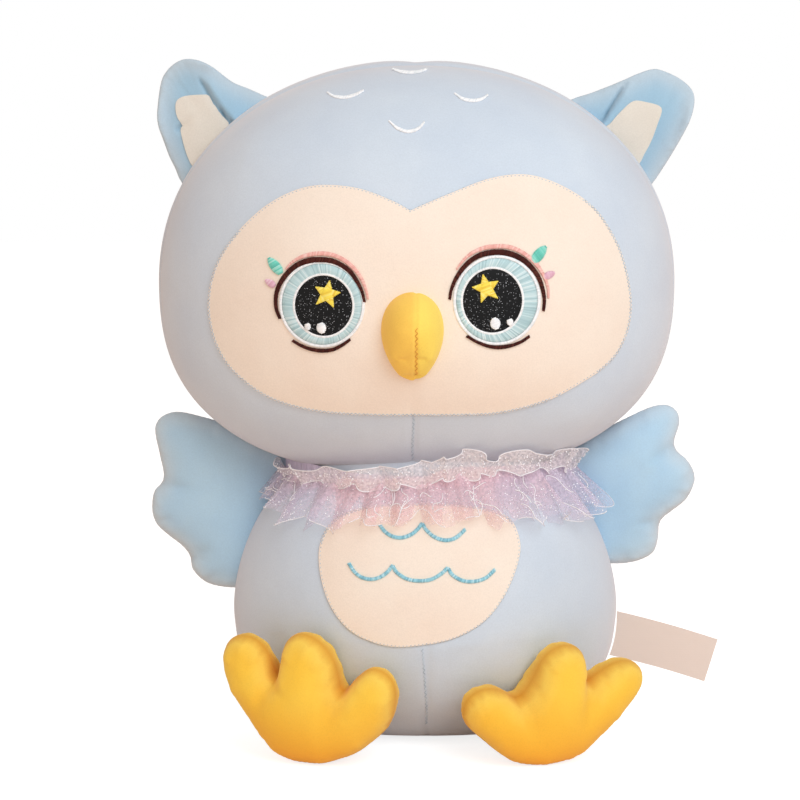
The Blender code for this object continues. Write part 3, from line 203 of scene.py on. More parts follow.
def satinThread(name, colour, deeper, bright="#FFFFFF", shine=0.42, gloss=0.4):
    # trilobal polyester embroidery thread: each stitch has its own random tone, some leaning to the deeper colour as a
    # painted shade of the gaps between stitches, and some to the bright colour as a painted highlight of the thread's
    # sheen
    made, place = newFinish(name)
    strand = addNode(made, "ShaderNodeTexNoise", {"Scale": 1150.0, "Detail": 2.0}, {"Vector": place})
    own = addNode(made, "ShaderNodeAttribute", {"attribute_name": "strand"}).outputs["Fac"]  # each stitch's own tone
    # painted shade: stitches with a low tone lean to the deeper colour, for the shade in the gaps between stitches
    gap = addNode(made, "ShaderNodeMapRange", {"From Min": 0.0, "From Max": 0.5, "To Min": 0.4}, {"Value": own})
    # painted highlight: stitches with a high tone lean to the bright colour, for the thread's sheen
    lit = addNode(made, "ShaderNodeMapRange", {"From Min": 0.65, "From Max": 1.0, "To Max": 0.55}, {"Value": own})
    mixed = addNode(made, "ShaderNodeMix", {"data_type": "RGBA"}, {"Factor": gap.outputs[0]})
    mixed.inputs[6].default_value = tone(deeper)
    mixed.inputs[7].default_value = tone(colour)
    withPaintedHighlight = addNode(made, "ShaderNodeMix", {"data_type": "RGBA"}, {"Factor": lit.outputs[0]})
    withPaintedHighlight.inputs[7].default_value = tone(bright)
    made.node_tree.links.new(mixed.outputs[2], withPaintedHighlight.inputs[6])
    ply = addNode(made, "ShaderNodeBump", {"Strength": 0.3, "Distance": 0.0002}, {"Height": strand.outputs["Fac"]})
    shader = addNode(made, "ShaderNodeBsdfPrincipled",
                     {"Roughness": shine, "IOR": 1.53, "Specular IOR Level": gloss, "Sheen Weight": 0.1,
                      "Sheen Roughness": 0.4},
                     {"Base Color": withPaintedHighlight.outputs[2], "Normal": ply.outputs[0]})
    return finishWith(made, shader)


def glitterCloth(name, colour, paintedGlint):
    # black glitter film on cloth: nearly black, with sparse fine points painted bright into the colour as painted
    # glints of the glitter
    made, place = newFinish(name)
    cells = addNode(made, "ShaderNodeTexVoronoi", {"Scale": 1250.0, "Randomness": 1.0}, {"Vector": place})
    value = addNode(made, "ShaderNodeSeparateColor", None, {"Color": cells.outputs["Color"]})
    chosen = addNode(made, "ShaderNodeMapRange", {"From Min": 0.60, "From Max": 0.95}, {"Value": value.outputs[0]})
    point = addNode(made, "ShaderNodeMapRange", {"From Min": 0.33, "From Max": 0.14},
                    {"Value": cells.outputs["Distance"]})
    lit = addNode(made, "ShaderNodeMath", {"operation": "MULTIPLY"}, {0: chosen.outputs[0], 1: point.outputs[0]})
    mixed = addNode(made, "ShaderNodeMix", {"data_type": "RGBA"}, {"Factor": lit.outputs[0]})
    mixed.inputs[6].default_value = tone(colour)
    mixed.inputs[7].default_value = tone(paintedGlint)
    shader = addNode(made, "ShaderNodeBsdfPrincipled",
                     {"Roughness": 0.6, "IOR": 1.45, "Specular IOR Level": 0.2},
                     {"Base Color": mixed.outputs[2]})
    return finishWith(made, shader)


def glitterTulle(name, colour, centreColour, cover, spreadTo=0.5):
    # nylon tulle with iridescent flecks: a see-through veil, pinker at the middle of the chest
    made, place = newFinish(name)
    apart = addNode(made, "ShaderNodeSeparateXYZ", None, {"Vector": place})
    side = addNode(made, "ShaderNodeMath", {"operation": "ABSOLUTE"}, {0: apart.outputs["X"]})
    drift = addNode(made, "ShaderNodeTexNoise", {"Scale": 38.0, "Detail": 1.0}, {"Vector": place})
    wide = addNode(made, "ShaderNodeMapRange", {"To Min": -0.04, "To Max": 0.04}, {"Value": drift.outputs["Fac"]})
    sideways = addNode(made, "ShaderNodeMath", {"operation": "ADD"}, {0: side.outputs[0], 1: wide.outputs[0]})
    away = addNode(made, "ShaderNodeMapRange", {"From Min": 0.045, "From Max": 0.085}, {"Value": sideways.outputs[0]})
    dyed = addNode(made, "ShaderNodeMix", {"data_type": "RGBA"}, {"Factor": away.outputs[0]})
    dyed.inputs[6].default_value = tone(centreColour)
    dyed.inputs[7].default_value = tone(colour)
    # glitter flecks, painted white and opaque into the colour as painted glints
    flecks = addNode(made, "ShaderNodeTexVoronoi", {"Scale": 900.0}, {"Vector": place})
    pick = addNode(made, "ShaderNodeSeparateColor", None, {"Color": flecks.outputs["Color"]})
    chosen = addNode(made, "ShaderNodeMath", {"operation": "GREATER_THAN", 1: 0.90}, {0: pick.outputs[0]})
    near = addNode(made, "ShaderNodeMath", {"operation": "LESS_THAN", 1: 0.34}, {0: flecks.outputs["Distance"]})
    lit = addNode(made, "ShaderNodeMath", {"operation": "MULTIPLY"}, {0: chosen.outputs[0], 1: near.outputs[0]})
    mixed = addNode(made, "ShaderNodeMix", {"data_type": "RGBA"}, {"Factor": lit.outputs[0]})
    mixed.inputs[7].default_value = tone("#FFFFFF")
    made.node_tree.links.new(dyed.outputs[2], mixed.inputs[6])
    mesh = addNode(made, "ShaderNodeTexNoise", {"Scale": 520.0, "Detail": 1.0}, {"Vector": place})
    veil = addNode(made, "ShaderNodeMapRange",
                   {"From Min": 0.3, "From Max": 0.7, "To Min": cover - 0.14, "To Max": cover + 0.14},
                   {"Value": mesh.outputs["Fac"]})  # the net, drawn 2 mm wide as its 0.7 mm holes wouldn't show
    down = addNode(made, "ShaderNodeAttribute", {"attribute_name": "down"})  # gathered close above, spread out below
    spread = addNode(made, "ShaderNodeMapRange", {"To Min": 1.35, "To Max": spreadTo}, {"Value": down.outputs["Fac"]})
    thin = addNode(made, "ShaderNodeMath", {"operation": "MULTIPLY"}, {0: veil.outputs[0], 1: spread.outputs[0]})
    opaque = addNode(made, "ShaderNodeMath", {"operation": "MAXIMUM"}, {0: thin.outputs[0], 1: lit.outputs[0]})
    shader = addNode(made, "ShaderNodeBsdfPrincipled",
                     {"Roughness": 0.45, "IOR": 1.5, "Sheen Weight": 0.5, "Sheen Roughness": 0.3},
                     {"Base Color": mixed.outputs[2], "Alpha": opaque.outputs[0]})
    return finishWith(made, shader)


def satinRibbon(name, colour):
    # woven polyester satin ribbon: smooth, faint crosswise threads
    made, place = newFinish(name)
    weave = addNode(made, "ShaderNodeTexWave", {"Scale": 260.0, "Distortion": 0.6, "Detail": 1.0,
                                                "bands_direction": "Z"}, {"Vector": place})
    grain = addNode(made, "ShaderNodeBump", {"Strength": 0.12, "Distance": 0.0002}, {"Height": weave.outputs["Fac"]})
    shader = addNode(made, "ShaderNodeBsdfPrincipled",
                     {"Base Color": tone(colour), "Roughness": 0.42, "IOR": 1.5, "Sheen Weight": 0.1},
                     {"Normal": grain.outputs[0]})
    return finishWith(made, shader)


paleBlue = velour("pale blue stretch velour", "#D4DFEA", "#CEDAE7")
# the wing, ear and foot velours: paler along their edges as painted sheen, deeper in creases and folds as painted shade
wingBlue = velour("sky blue stretch velour", "#BBDAED", "#B1D3EB", paintedEdgeSheen="#CFDDE6", paintedCreaseShade="#6E93AA")
earBlue = velour("sky blue stretch velour of the ears", "#A6C8DC", "#9DC1D8", paintedEdgeSheen="#C3D2DC", paintedCreaseShade="#5F8298")
cream = velour("cream stretch velour", "#F9EBDC", "#F7E6D6", sheen=0.2)
earCream = velour("ivory stretch velour", "#E9E1D5", "#E4DCCF", sheen=0.2)
# the foot velour is painted deeper orange towards the floor, as painted shade
yellow = velour("egg yellow stretch velour", "#FFD250", "#FFCA44", sheen=0.2, paintedEdgeSheen="#FFDD72", paintedCreaseShade="#DE9526",
                paintedShade={"axis": "Z", "from": 0.050, "to": 0.0, "colour": "#FFBA3C"})
# the beak's velour is painted deeper on the viewer's left, as painted shade
beakYellow = velour("egg yellow velour of the beak", "#FFE06A", "#FFD95E", sheen=0.2,
                    paintedShade={"axis": "X", "from": -0.0048, "to": -0.0100, "colour": "#FFD060"})
# each thread's third colour is a painted highlight, and its deeper colour is partly a painted shade
irisThread = satinThread("pale blue satin thread", "#C4DEE1", "#93B7BD", "#F2FAFA")
starThread = satinThread("lemon satin thread", "#FDE552", "#E4B62E", "#FFF5A8")
whiteThread = satinThread("white satin thread", "#FFFFFF", "#E2E7EB")
brownThread = satinThread("brown satin thread", "#45170F", "#260806", "#6E3A2E", shine=0.6, gloss=0.15)
pinkThread = satinThread("blush satin thread", "#F5BFB4", "#E6A096", "#FCDDD5")
tealThread = satinThread("teal satin thread", "#7CDCCB", "#48B5A5", "#E0F8F3")
petalThread = satinThread("mauve satin thread", "#E9BDCD", "#D398AF", "#F9E6EC")
waveThread = satinThread("aqua satin thread", "#9FD8E6", "#62A3B8", "#E0F5FA")
edgeThread = satinThread("grey blue sewing thread", "#C3CED7", "#9DABB8", "#DCE4EA", shine=0.6)
seamThread = satinThread("pale blue sewing thread", "#BCC9D6", "#98A8B8", "#D2DCE6", shine=0.6)
beakSeamThread = satinThread("amber sewing thread", "#E8AA3E", "#D0922C", "#F2BC58", shine=0.6)
# the pupil's second colour is its painted glints
pupilCloth = glitterCloth("black glitter cloth", "#0B0A0A", "#E4E8EE")
lilacTulle = glitterTulle("lilac glitter tulle", "#E8D8EB", "#FFD8E0", 0.40)
pinkTulle = glitterTulle("ivory glitter tulle", "#F7EFF3", "#FAF0F0", 0.42, 1.1)
whiteRibbon = satinRibbon("white satin ribbon", "#E9D8CD")
lilacRibbon = satinRibbon("lilac satin ribbon", "#D6CBE0")
pearlThread = satinThread("pearl piping thread", "#FFFFFF", "#FBF6F9", shine=0.25)

# floor, light and camera

stageLook = {
    "cameraTarget": (-0.0173, 0.0, 0.2225),
    "cameraDistance": 1.5,
    "cameraRise": 6.0,       # degrees above level
    "lens": 98.4,
    "keyPower": 22.0, "keySpot": (0.75, -1.55, 1.35), "keyColour": "#E6F4FF", "keySize": 1.2,
    "fillPower": 4.2, "fillSpot": (-0.8, -1.5, 0.12), "fillColour": "#FFE0CC", "fillSize": 1.6,
    "backPower": 8.0, "backSpot": (0.5, 1.7, 0.9), "backColour": "#FFF6F0", "backSize": 1.6,
    "lampAim": (0, 0, 0.2), "floorSize": 14, "floorSpot": (0, 3, 0), "floorBounce": "#F5E4D9", "floorShade": "#BCBCBC",
    "skyStrength": 0.56, "skyColour": "#FFF4EA",
    "floorGlow": 0.80,       # what the camera sees added to the floor, so that it is white outside the shadow
}


def seenDirectly(made):
    # 1 for what the camera sees by itself, in a gloss or through a clear thing
    ray = addNode(made, "ShaderNodeLightPath")
    direct = addNode(made, "ShaderNodeMath", {"operation": "MAXIMUM"},
                     {0: ray.outputs["Is Camera Ray"], 1: ray.outputs["Is Glossy Ray"]})
    return addNode(made, "ShaderNodeMath", {"operation": "MAXIMUM"},
                   {0: direct.outputs[0], 1: ray.outputs["Is Transmission Ray"]})


def makeStage(look):
    bpy.ops.object.select_all(action="DESELECT")
    bpy.ops.mesh.primitive_plane_add(size=look["floorSize"], location=look["floorSpot"])
    floor = bpy.context.object
    floor.name = "paleFloor"
    bpy.ops.object.transform_apply(location=True, rotation=True, scale=True)
    made, _place = newFinish("white paper sweep")
    seen = seenDirectly(made)
    bounce = addNode(made, "ShaderNodeBsdfDiffuse", {"Color": tone(look["floorBounce"]), "Roughness": 0.0})
    shade = addNode(made, "ShaderNodeBsdfDiffuse", {"Color": tone(look["floorShade"]), "Roughness": 0.0})
    glow = addNode(made, "ShaderNodeEmission", {"Color": tone("#FFFFFF"), "Strength": look["floorGlow"]})
    both = addNode(made, "ShaderNodeAddShader", None, {0: shade.outputs[0], 1: glow.outputs[0]})
    shown = addNode(made, "ShaderNodeMixShader", None,
                    {"Fac": seen.outputs[0], 1: bounce.outputs[0], 2: both.outputs[0]})
    finishWith(made, shown)
    floor.data.materials.append(made)

    world = bpy.data.worlds.new("soft studio")
    scene.world = world
    world.use_nodes = True
    world.node_tree.nodes.clear()
    sky = addNode(world, "ShaderNodeBackground", {"Color": tone(look["skyColour"]), "Strength": look["skyStrength"]})
    white = addNode(world, "ShaderNodeBackground", {"Color": (1, 1, 1, 1), "Strength": 1.0})
    mixed = addNode(world, "ShaderNodeMixShader", None,
                    {0: seenDirectly(world).outputs[0], 1: sky.outputs[0], 2: white.outputs[0]})
    addNode(world, "ShaderNodeOutputWorld", None, {"Surface": mixed.outputs[0]})

    for name in ("key", "fill", "back"):
        lamp = bpy.data.lights.new(f"{name}Lamp", "AREA")
        lamp.energy = look[f"{name}Power"]
        lamp.size = look[f"{name}Size"]
        lamp.color = tone(look[f"{name}Colour"])[:3]
        holder = bpy.data.objects.new(f"{name}Lamp", lamp)
        scene.collection.objects.link(holder)
        holder.location = look[f"{name}Spot"]
        aim = Vector(look["lampAim"]) - holder.location
        holder.rotation_euler = aim.to_track_quat("-Z", "Y").to_euler()

    lens = bpy.data.cameras.new("photoCamera")
    lens.lens = look["lens"]
    lens.sensor_width = 36
    lens.clip_start = 0.05
    holder = bpy.data.objects.new("photoCamera", lens)
    scene.collection.objects.link(holder)
    rise = math.radians(look["cameraRise"])
    target = Vector(look["cameraTarget"])
    holder.location = target + Vector((0, -math.cos(rise), math.sin(rise))) * look["cameraDistance"]
    holder.rotation_euler = (target - holder.location).to_track_quat("-Z", "Y").to_euler()
    scene.camera = holder


scene.view_settings.view_transform = "Standard"
makeStage(stageLook)
report("stage is set")

# stuffed forms

headShape = {
    "centre": (-0.006, 0.0, 0.303), "halfWidth": 0.178, "front": 0.130, "back": 0.115,
    "above": 0.151, "below": 0.131, "topPower": 2.12, "bottomPower": 2.5, "roundPower": 2.1,
}
bodyShape = {
    "centre": (0.0, 0.0, 0.075), "halfWidth": 0.134, "front": 0.112, "back": 0.100,
    "above": 0.140, "below": 0.085, "topPower": 2.0, "bottomPower": 2.4, "roundPower": 2.1,
}
beakShape = {
    "centre": (-0.0095, -0.1176, 0.2845), "halfWidth": 0.0205, "front": 0.0400, "back": 0.0180,
    "above": 0.0222, "below": 0.0390, "topPower": 2.1, "bottomPower": 1.5, "roundPower": 2.1,
}


def onShape(shape, way):
    # the point of the form in that direction; the form is an oval with its own fullness above and below
    x, y, z = way
    deep = shape["front"] if y < 0 else shape["back"]
    tall, power = (shape["above"], shape["topPower"]) if z > 0 else (shape["below"], shape["bottomPower"])
    x, y, z = x * shape["halfWidth"], y * deep, z * tall
    ring = abs(x / shape["halfWidth"]) ** shape["roundPower"] + abs(y / deep) ** shape["roundPower"]
    reach = (ring ** (power / shape["roundPower"]) + abs(z / tall) ** power) ** (-1 / power)
    return Vector(shape["centre"]) + Vector((x, y, z)) * reach


def stuffedBall(name, shape, cuts):
    # a cube cut into even squares and rounded to the form
    bpy.ops.object.select_all(action="DESELECT")
    bpy.ops.mesh.primitive_cube_add(size=2)
    ball = bpy.context.object
    ball.name = name
    bpy.ops.object.mode_set(mode="EDIT")
    bpy.ops.mesh.select_all(action="SELECT")
    bpy.ops.mesh.subdivide(number_cuts=cuts)
    bpy.ops.object.mode_set(mode="OBJECT")
    for vertex in ball.data.vertices:
        vertex.co = onShape(shape, [math.tan(c * math.pi / 4) for c in vertex.co])
    ball.data.update()
    return ball


clothLook = {"quality": 4, "mass": 0.15, "stretch": 12, "shear": 5, "bending": 0.4, "damping": 4}


def swell(piece, sewn, look):
    # the stuffing presses the cloth out, and the sewn points hold it
    group = piece.vertex_groups.new(name="sewn")
    for index, weight in sewn.items():
        group.add([index], weight, "REPLACE")
    start = np.array([v.co[:] for v in piece.data.vertices])
    cloth = piece.modifiers.new("Cloth", "CLOTH")
    settings = cloth.settings
    settings.quality = clothLook["quality"]
    settings.mass = clothLook["mass"]
    settings.tension_stiffness = settings.compression_stiffness = clothLook["stretch"]
    settings.shear_stiffness = clothLook["shear"]
    settings.bending_stiffness = clothLook["bending"]
    settings.air_damping = clothLook["damping"]
    settings.use_pressure = True
    settings.uniform_pressure_force = look["pressure"]
    settings.vertex_group_mass = "sewn"
    settings.pin_stiffness = 1
    settings.effector_weights.gravity = 0
    cloth.point_cache.frame_start = 1
    cloth.point_cache.frame_end = look["frames"]
    for number in range(1, look["frames"] + 1):
        scene.frame_set(number)
    done = piece.evaluated_get(bpy.context.evaluated_depsgraph_get())
    moved = np.array([v.co[:] for v in done.data.vertices]) - start
    ends = np.array([e.vertices[:] for e in piece.data.edges])
    links = np.bincount(ends.ravel(), minlength=len(start))[:, None]
    for _ in range(look["eased"]):  # the pile hides the finest creases
        spread = np.zeros_like(moved)
        np.add.at(spread, ends[:, 0], moved[ends[:, 1]])
        np.add.at(spread, ends[:, 1], moved[ends[:, 0]])
        moved = 0.5 * moved + 0.5 * spread / links
    reach = np.linalg.norm(moved, axis=1)
    free = np.array([i not in sewn for i in range(len(start))])
    scale = look["rise"] / max(reach[free].mean(), 1e-9)
    limit = np.minimum(look["cap"] / np.maximum(reach * scale, 1e-9), 1.0) * scale
    report(f"{piece.name} swelled by {reach[free].mean() * 1000:.2f} mm, scaled by {scale:.2f}")
    alone(piece)
    piece.modifiers.remove(cloth)
    piece.vertex_groups.clear()
    scene.frame_set(1)
    ends = start + moved * limit[:, None]
    for vertex, spot in zip(piece.data.vertices, ends):
        vertex.co = spot


def drawIn(piece, depth):
    # each point goes in along its normal; depth is a number, or a rule of the point
    mesh = piece.data
    ways = [v.normal.copy() for v in mesh.vertices]
    for vertex, way in zip(mesh.vertices, ways):
        far = depth(vertex.co) if callable(depth) else depth
        vertex.co = vertex.co - way * far
    mesh.update()


def finer(piece, levels=1):
    modifier = piece.modifiers.new("Subdivision", "SUBSURF")
    modifier.levels = modifier.render_levels = levels
    applyAll(piece)


def smooth(piece, angle=60):
    alone(piece)
    bpy.ops.object.shade_smooth_by_angle(angle=math.radians(angle))


# head

headLook = {
    "cuts": 47, "rise": 0.003, "cap": 0.006, "pressure": 300.0, "frames": 8, "eased": 4,
    "seamY": -0.022, "seamHalf": 0.004, "seamDeep": 0.0016, "sewnHalf": 0.0035, "backSeamFade": 0.07,
    "chinX": -0.009, "chinTop": 0.27, "chinFade": 0.03, "chinHalf": 0.0024, "chinDeep": 0.0011,
}


def seamDip(distance, half, deep):
    return deep * math.exp(-(distance / half) ** 2)


def makeHead(look):
    head = stuffedBall("headCushion", headShape, look["cuts"])
    drawIn(head, look["rise"])
    middle = Vector(headShape["centre"])
    sewn = {}
    for vertex in head.data.vertices:
        p = vertex.co
        behind = p.y > look["seamY"] and abs(p.x - middle.x) < look["sewnHalf"]
        if behind or abs(p.y - look["seamY"]) < look["sewnHalf"]:
            sewn[vertex.index] = 1.0
    swell(head, sewn, look)
    finer(head)

    def dip(p):
        depth = seamDip(abs(p.y - look["seamY"]), look["seamHalf"], look["seamDeep"])
        if p.y > look["seamY"]:  # the back seam, slight at the crown
            begun = min(max((p.y - look["seamY"]) / look["backSeamFade"], 0.0), 1.0)
            depth += begun * seamDip(abs(p.x - middle.x), look["seamHalf"], look["seamDeep"])
        elif p.z < look["chinTop"]:  # the chin seam, which runs out under the face patch
            begun = min((look["chinTop"] - p.z) / look["chinFade"], 1.0)
            depth += begun * seamDip(abs(p.x - look["chinX"]), look["chinHalf"], look["chinDeep"])
        return depth

    drawIn(head, dip)
    smooth(head, 180)
    dress(head, paleBlue, "head_velour", "head",
          ("head_front_panel", "head_back_left_panel", "head_back_right_panel", "head_stuffing"))
    return head


head = makeHead(headLook)
headTree = treeOf(head)
report("head is stuffed")

# body

bodyLook = {
    "cuts": 41, "rise": 0.003, "cap": 0.006, "pressure": 300.0, "frames": 8, "eased": 4,
    "seamHalf": 0.0035, "seamDeep": 0.0014, "seatRound": 0.010, "sewnHalf": 0.0035, "seatHigh": 0.004,
    "throatLow": 0.195, "settle": 0.020, "frontSeamTop": 0.09, "frontSeamHalf": 0.0022, "frontSeamDeep": 0.0010,
}


def makeBody(look):
    body = stuffedBall("bodyCushion", bodyShape, look["cuts"])
    drawIn(body, look["rise"])
    for vertex in body.data.vertices:
        z = vertex.co.z
        vertex.co.z = 0.5 * (z + math.sqrt(z * z + look["seatRound"] ** 2))
    sewn = {}
    for vertex in body.data.vertices:
        p = vertex.co
        if p.z < look["seatHigh"] or abs(p.y) < look["sewnHalf"] or p.z > look["throatLow"]:
            sewn[vertex.index] = 1.0
    swell(body, sewn, look)
    finer(body)

    def dip(p):
        if p.z < look["seatHigh"]:
            return 0.0
        depth = seamDip(abs(p.y), look["seamHalf"], look["seamDeep"])
        if p.y > 0:
            depth += seamDip(abs(p.x), look["seamHalf"], look["seamDeep"])
        elif p.z < look["frontSeamTop"]:
            depth += seamDip(abs(p.x), look["frontSeamHalf"], look["frontSeamDeep"])
        return depth

    drawIn(body, dip)
    lowest = min(vertex.co.z for vertex in body.data.vertices)
    for vertex in body.data.vertices:  # the seat rests on the floor
        vertex.co.z -= lowest * max(1 - vertex.co.z / look["settle"], 0.0)
    smooth(body, 180)
    dress(body, paleBlue, "head_velour", "body",
          ("body_front_panel", "body_back_left_panel", "body_back_right_panel", "base_panel", "body_stuffing"))
    return body


body = makeBody(bodyLook)
bodyTree = treeOf(body)
report("body is stuffed")

# cut and sewn pillows: wings, ears and feet


def curvePoint(a, b, c, d, t):
    # a point between b and c on the smooth line through all four
    return 0.5 * ((2 * b) + (c - a) * t + (2 * a - 5 * b + 4 * c - d) * t * t + (3 * b - a - 3 * c + d) * t ** 3)


def roundedLoop(points, steps, corners=()):
    # a smooth closed line through the points; the corners stay sharp
    count = len(points)
    made = []
    for i in range(count):
        a, b, c, d = (Vector(points[(i + k) % count]) for k in (-1, 0, 1, 2))
        if i in corners:
            a = b
        if (i + 1) % count in corners:
            d = c
        made += [curvePoint(a, b, c, d, k / steps) for k in range(steps)]
    return [tuple(p) for p in made]


def evenLoop(points, spacing, closed=True):
    # the same line, walked in even steps
    ring = [Vector(p) for p in points] + ([Vector(points[0])] if closed else [])
    lengths = [0.0]
    for a, b in zip(ring, ring[1:]):
        lengths.append(lengths[-1] + (b - a).length)
    count = max(int(round(lengths[-1] / spacing)), 8)
    made = []
    for k in range(count if closed else count + 1):
        goal = lengths[-1] * k / count
        i = max(j for j in range(len(lengths) - 1) if lengths[j] <= goal + 1e-12)
        t = (goal - lengths[i]) / max(lengths[i + 1] - lengths[i], 1e-9)
        made.append(tuple(ring[i].lerp(ring[i + 1], t)))
    return made


def isInside(point, outline):
    x, y = point
    found = False
    for (x1, y1), (x2, y2) in zip(outline, outline[1:] + outline[:1]):
        if (y1 > y) != (y2 > y) and x < (x2 - x1) * (y - y1) / (y2 - y1) + x1:
            found = not found
    return found


def toEdge(points, outline):
    # each point's distance to the outline and the way there, all at once
    p = np.array(points, float).reshape(-1, 1, 2)
    a = np.array(outline, float).reshape(1, -1, 2)
    b = np.roll(a, -1, axis=1)
    along = b - a
    t = np.clip(((p - a) * along).sum(2) / np.maximum((along ** 2).sum(2), 1e-18), 0, 1)
    gap = a + along * t[..., None] - p
    far = np.linalg.norm(gap, axis=2)
    rows = np.arange(len(far))
    nearest = far.argmin(axis=1)
    far = far[rows, nearest]
    return far, gap[rows, nearest] / np.maximum(far, 1e-9)[:, None]


def edgeDistance(points, outline):
    return toEdge(points, outline)[0]


def toLine(x, z, line):
    # distance from a drawn line, positive on its left as drawn, and how far along it the nearest point is
    best = (1e9, 0.0, 0.0)
    for k, (a, b) in enumerate(zip(line, line[1:])):
        (ax, az), (bx, bz) = a, b
        size = (bx - ax) ** 2 + (bz - az) ** 2
        t = min(max(((x - ax) * (bx - ax) + (z - az) * (bz - az)) / size, 0.0), 1.0)
        far = math.hypot(x - ax - (bx - ax) * t, z - az - (bz - az) * t)
        if far < best[0]:
            side = (bx - ax) * (z - az) - (bz - az) * (x - ax)
            best = (far, 1.0 if side > 0 else -1.0, (k + t) / (len(line) - 1))
    return best[0] * best[1], best[2]


def inMetres(points):
    return [(x / 1000, z / 1000) for x, z in points]


def insetLoop(outline, far, cell):
    # points at one distance inside an outline, so that a seam's slope is even along it
    ring = np.array(outline)
    ways = np.roll(ring, -1, axis=0) - np.roll(ring, 1, axis=0)
    area = (ring[:, 0] * np.roll(ring[:, 1], -1) - ring[:, 1] * np.roll(ring[:, 0], -1)).sum()
    ways = np.stack([-ways[:, 1], ways[:, 0]], axis=1) * np.sign(area)
    spots = ring + far * ways / np.linalg.norm(ways, axis=1)[:, None]
    kept = []
    for spot, away in zip(spots, edgeDistance(spots, outline)):
        if away > 0.93 * far and isInside(spot, outline) and all(
                math.dist(spot, other) > 0.6 * cell for other in kept[-2:] + kept[:1]):
            kept.append(tuple(spot))
    return kept


def cutCloth(outline, cell, rings=0):
    # cloth cut to an outline, filled with even triangles; the first points are the outline's own
    low, high = np.min(outline, axis=0), np.max(outline, axis=0)
    inner = []
    rowStep = cell * math.sqrt(3) / 2
    for row in range(int((high[1] - low[1]) / rowStep) + 1):
        for column in range(int((high[0] - low[0]) / cell) + 2):
            spot = (low[0] + (column + row % 2 / 2) * cell, low[1] + (row + 0.5) * rowStep)
            if isInside(spot, outline):
                inner.append(spot)
    margin = (0.8 * rings + 0.6) * cell
    inner = [p for p, d in zip(inner, edgeDistance(inner, outline)) if d > margin]
    for ring in range(rings):
        inner += insetLoop(outline, 0.8 * (ring + 1) * cell, cell)
    points = list(outline) + inner
    edges = [(i, (i + 1) % len(outline)) for i in range(len(outline))]
    result = delaunay_2d_cdt([Vector(p) for p in points], edges, [], 1, cell * 1e-4)
    points = [tuple(v) for v in result[0]]
    faces = []
    for face in result[2]:
        middle = np.mean([points[i] for i in face], axis=0)
        if isInside(middle, outline):
            (ax, ay), (bx, by), (cx, cy) = (points[i] for i in face[:3])
            faces.append(tuple(face) if (bx - ax) * (cy - ay) > (by - ay) * (cx - ax) else tuple(face[::-1]))
    return points, faces, len(outline)


def filledHeights(points, faces, rim, fullness):
    # the height that even stuffing gives each point, nought along the seam
    count = len(points)
    matrix = np.zeros((count, count))
    for face in faces:
        for a, b in zip(face, face[1:] + face[:1]):
            matrix[a, b] = matrix[b, a] = -1.0
    matrix[np.arange(count), np.arange(count)] = -matrix.sum(axis=1)
    load = np.ones(count)
    matrix[:rim] = 0
    matrix[np.arange(rim), np.arange(rim)] = 1
    load[:rim] = 0
    heights = np.linalg.solve(matrix, load)
    return fullness * np.sqrt(np.maximum(heights / heights.max(), 0))


def pulled(points, creases, wide, deep):
    # the share of the stuffing that is left where a stitched notch draws the cloth in
    left = np.ones(len(points))
    for ax, az, bx, bz in creases:
        line = inMetres([(ax, az), (bx, bz)])
        for index, (x, z) in enumerate(points):
            far, along = toLine(x, z, line)
            left[index] *= 1 - deep * math.exp(-(far / wide) ** 2) * (1 - 0.8 * along)
    return left


def markCloth(piece, name, values):
    # a number for each point, which the finish reads
    made = piece.data.attributes.new(name, "FLOAT", "POINT")
    made.data.foreach_set("value", [min(max(float(v), 0.0), 1.0) for v in values])


def sewPillow(name, outline, place, look, creases=(), fold=None):
    # two layers of the same cut, sewn along the outline, then stuffed
    points, faces, rim = cutCloth(outline, look["cell"], 2)
    heights = filledHeights(points, faces, rim, look["fullness"])
    notch = pulled(points, creases, look.get("creaseWide", 0.003), look.get("creaseDeep", 0.4))
    heights = heights * notch
    away, ways = toEdge(points, outline)
    # painted sheen: paler near the outline, where the pile's sheen would show
    paintedEdgeSheen = look["edgeSheenShare"] * np.exp(-(away / look["edgeSheenWide"]) ** 2)
    # painted shade: deeper along the seam and in the stitched notches, and on the front along the ear's fold
    seam = look.get("seamShade", 0.0) * np.exp(-(away / 0.0012) ** 2)
    paintedSeamAndNotchShade = seam + look.get("tuckShade", 0.5) * (1 - notch)
    paintedCreaseShade = paintedSeamAndNotchShade.copy()
    if fold:
        for index, (x, z) in enumerate(points):
            far, along = toLine(x, z, fold)
            paintedCreaseShade[index] += look["foldShade"] * min(along / 0.2, 1.0) * math.exp(-(far / look["foldWide"]) ** 2)
    over = look.get("overhang", 0.0) * np.sin(math.pi * np.minimum(away / look.get("overhangReach", 0.012), 1.0))
    behind = np.array(points) + ways * over[:, None]
    front = [place(u, v, h) for (u, v), h in zip(points, heights)]
    back = [place(u, v, -h) for (u, v), h in zip(behind, heights)]
    backIndex = list(range(rim)) + [len(points) + i for i in range(len(points) - rim)]
    made = fromFaces(name, front + back[rim:],
                     faces + [tuple(backIndex[i] for i in reversed(f)) for f in faces])
    markCloth(made, "paintedEdgeSheen", np.concatenate([paintedEdgeSheen, paintedEdgeSheen[rim:]]))
    markCloth(made, "paintedCreaseShade", np.concatenate([paintedCreaseShade, paintedSeamAndNotchShade[rim:]]))
    facesOut(made)
    swell(made, {i: 1.0 for i in range(rim)}, look)
    finer(made)
    smooth(made, 75)
    return made


